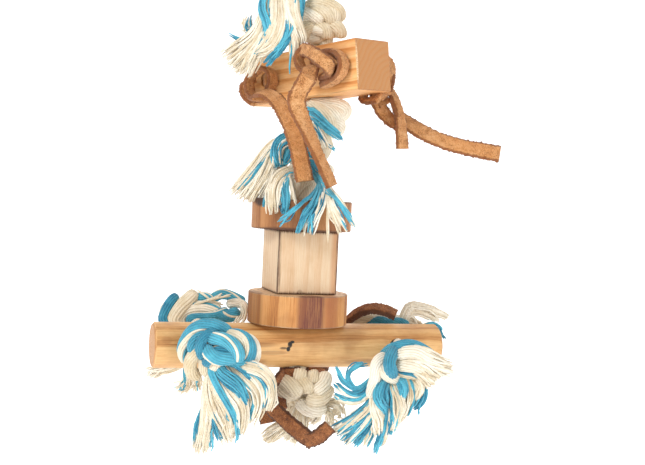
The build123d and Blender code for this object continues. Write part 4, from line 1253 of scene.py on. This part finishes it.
strap_piece("dark_lace_wrap", "lower_rope", ["bottom_lace_wrap"], [
    dict(points=[tuple(p) for p in wrap_path(on_stack(0, 0, -62.7), UPRIGHT, 7.6, 2.0, -40, 330)[::6]],
         wides=[(0, 0, 1)], width=6.5, thick=2.4),
    dict(points=[on_stack(-8, -6, -62), on_stack(-15, -10, -66), on_stack(-18, -14, -72)],
         wides=[(0.3, 0.3, 1)], width=6.0),
    dict(points=[(-23, 4, -317), (-23.8, -3, -322), (-22, -12, -329)],
         wides=[(1, 0.3, 0)], width=6.5),
    dict(points=[on_stack(1, 7.5, -64.5), (-4, 13.5, -311), (0, 20, -312.5), (3, 26, -308),
                 (4, 27.5, -303.5)],
         wides=[(0.6, 0.2, 1), (0.8, 0.6, 0.2), (0.4, 1, 0.2)], width=7.0, thick=3.6),
], BROWN_LEATHER)

# Knots of the two laces: strips folded over themselves where they leave the block
LOOP = (0.686, 0.728, 0)


def block_strap(points, **shape):
    """A strap with its points in the block's own axes."""
    return dict(points=[on_block(*point) for point in points], **shape)


LEFT_FRONT = [
    block_strap([(-26.5, -13, -7), (-19, -17, -4.5), (-16.5, -19, 2), (-22, -19.5, 6), (-31, -19.5, 5),
                (-36, -19.5, 0), (-34.5, -20, -7), (-30, -21, -11), (-24, -24, -11)], wides=[LOOP],
                width=7.0, thick=3.0),
    block_strap([(-35.5, -14, 1), (-42, -15, 0.5), (-45.5, -15, -3), (-44, -15, -8.5), (-38, -14, -12.5)],
                wides=[LOOP], width=7.0),
    block_strap([(-20, -15, -8), (-26, -16, -12), (-34, -16, -12), (-37, -18, -8)], wides=[LOOP],
                width=6.0),
]
strap_piece("left_lace_tie_front", "block", ["left_lace_front_knot"], LEFT_FRONT, TAN_LEATHER)
RIGHT_FRONT = [
    block_strap([(14.5, -13, 3), (16.5, -18, 8.5), (11.5, -21, 11.5), (7.5, -22, 8.5), (7.5, -22.5, 3),
                (12, -22, -1.5)], wides=[LOOP], width=7.0, thick=3.0),
    block_strap([(8, -20, 11), (14, -24, 10.5), (21, -26.5, 8), (28, -27, 3.5), (32, -25, -1),
                (28.5, -20, -4), (19, -16, -4)],
                wides=[(0.1, 0.3, 1), (0.35, 0.1, 1), (0.5, 0, 1), (0.7, 0.2, 0.5)], width=7.2,
                thick=3.4),
    block_strap([(16, -14, 8.5), (27.5, -17, 8.5), (35.5, -18, 4), (36, -18, -2), (31, -18, -7.5),
                (20, -17, -9)], wides=[LOOP], width=7.0, thick=3.4),
    block_strap([(17, -16, 2.5), (17, -22, 1), (17, -25, -2.5), (17.5, -26.5, -6.5)],
                wides=[(0.8, -0.3, 0.5), (1, -0.2, -0.4)], width=9.5),
    block_strap([(14.5, -18, 7), (20, -21, 5.5), (26, -21.5, 3), (31, -19, -1)],
                wides=[(0.2, 0, 1), (0.45, 0, 1)], width=8.5, thick=3.4),
]
strap_piece("right_lace_tie_front", "block", ["right_lace_front_knot"], RIGHT_FRONT, TAN_LEATHER)
LEFT_BACK = [
    block_strap([(-28, 12.5, 0), (-24, 17, 5), (-27, 22, 5), (-33, 21, 0), (-30, 18, -6), (-23, 19, -4)],
                wides=[(0.3, 0, 1), (0, 0.8, 0.8), (0.2, 0.6, -0.6)], width=7.0),
    block_strap([(-34, 16, 3), (-29, 22, 0), (-22, 19, 3)], wides=[(0.2, 0.2, 1)], width=6.5),
]
strap_piece("left_lace_tie_back", "block", ["left_lace_back_knot"], LEFT_BACK, TAN_LEATHER)
RIGHT_BACK = [
    block_strap([(22.5, 12, 0), (22, 18, 8), (28, 24, 8), (35, 23, 0), (34, 20, -10), (27, 19, -14)],
                wides=[(0.5, 0, 1), (0.6, 0.6, 0.6), (0.4, 0.8, 0), (0.5, 0.6, -0.6)], width=9.0),
    block_strap([(16, 17, 4), (24, 24, 1), (34, 23, -5), (35, 15, -14)],
                wides=[(0.3, 0.1, 1), (0.6, 0.3, 0.8)], width=9.0),
    block_strap([(32, 22, -4), (22, 21, -8), (18, 17, -14), (26, 12, -17), (36, 10, -16)],
                wides=[(0.2, 0.2, 1), (0.1, 1, 0.2), (0.2, 0.6, 0.6)], width=8.5),
    dict(points=[(30.5, 9, -150), (31, 6, -155), (33, 5, -159), (36, 4, -162)],
         wides=[(1, 0.1, -0.2)], width=9.5),
    dict(points=[(30.5, 7, -152), (30.5, 4, -158), (33, 3, -165), (38.5, 4, -170.5), (44.5, 7, -174)],
         wides=[(1, 0.3, 0), (0.9, 0.3, 0.4), (0.6, 0.3, 0.8), (0.1, 0.3, 1)], width=8.0),
    dict(points=[(38, 6, -153), (40.5, 2, -158), (42.5, 0, -164), (43.8, -0.5, -170)],
         wides=[(0.6, 0.8, 0)], width=8.0),
]
strap_piece("right_lace_tie_back", "block", ["right_lace_back_knot"], RIGHT_BACK, TAN_LEATHER)
for side, x in (("left", -28), ("right", 22.5)):
    strap_piece(f"{side}_lace_in_block", "block", [f"{side}_lace_core"], [
        block_strap([(x, -14, 0), (x + 0.5, -4, 0.4), (x - 0.5, 6, -0.4), (x, 14, 0)],
                    wides=[(0, 0, 1), (0.4, 0, 1)], width=7.6, thick=3.4)], TAN_LEATHER)
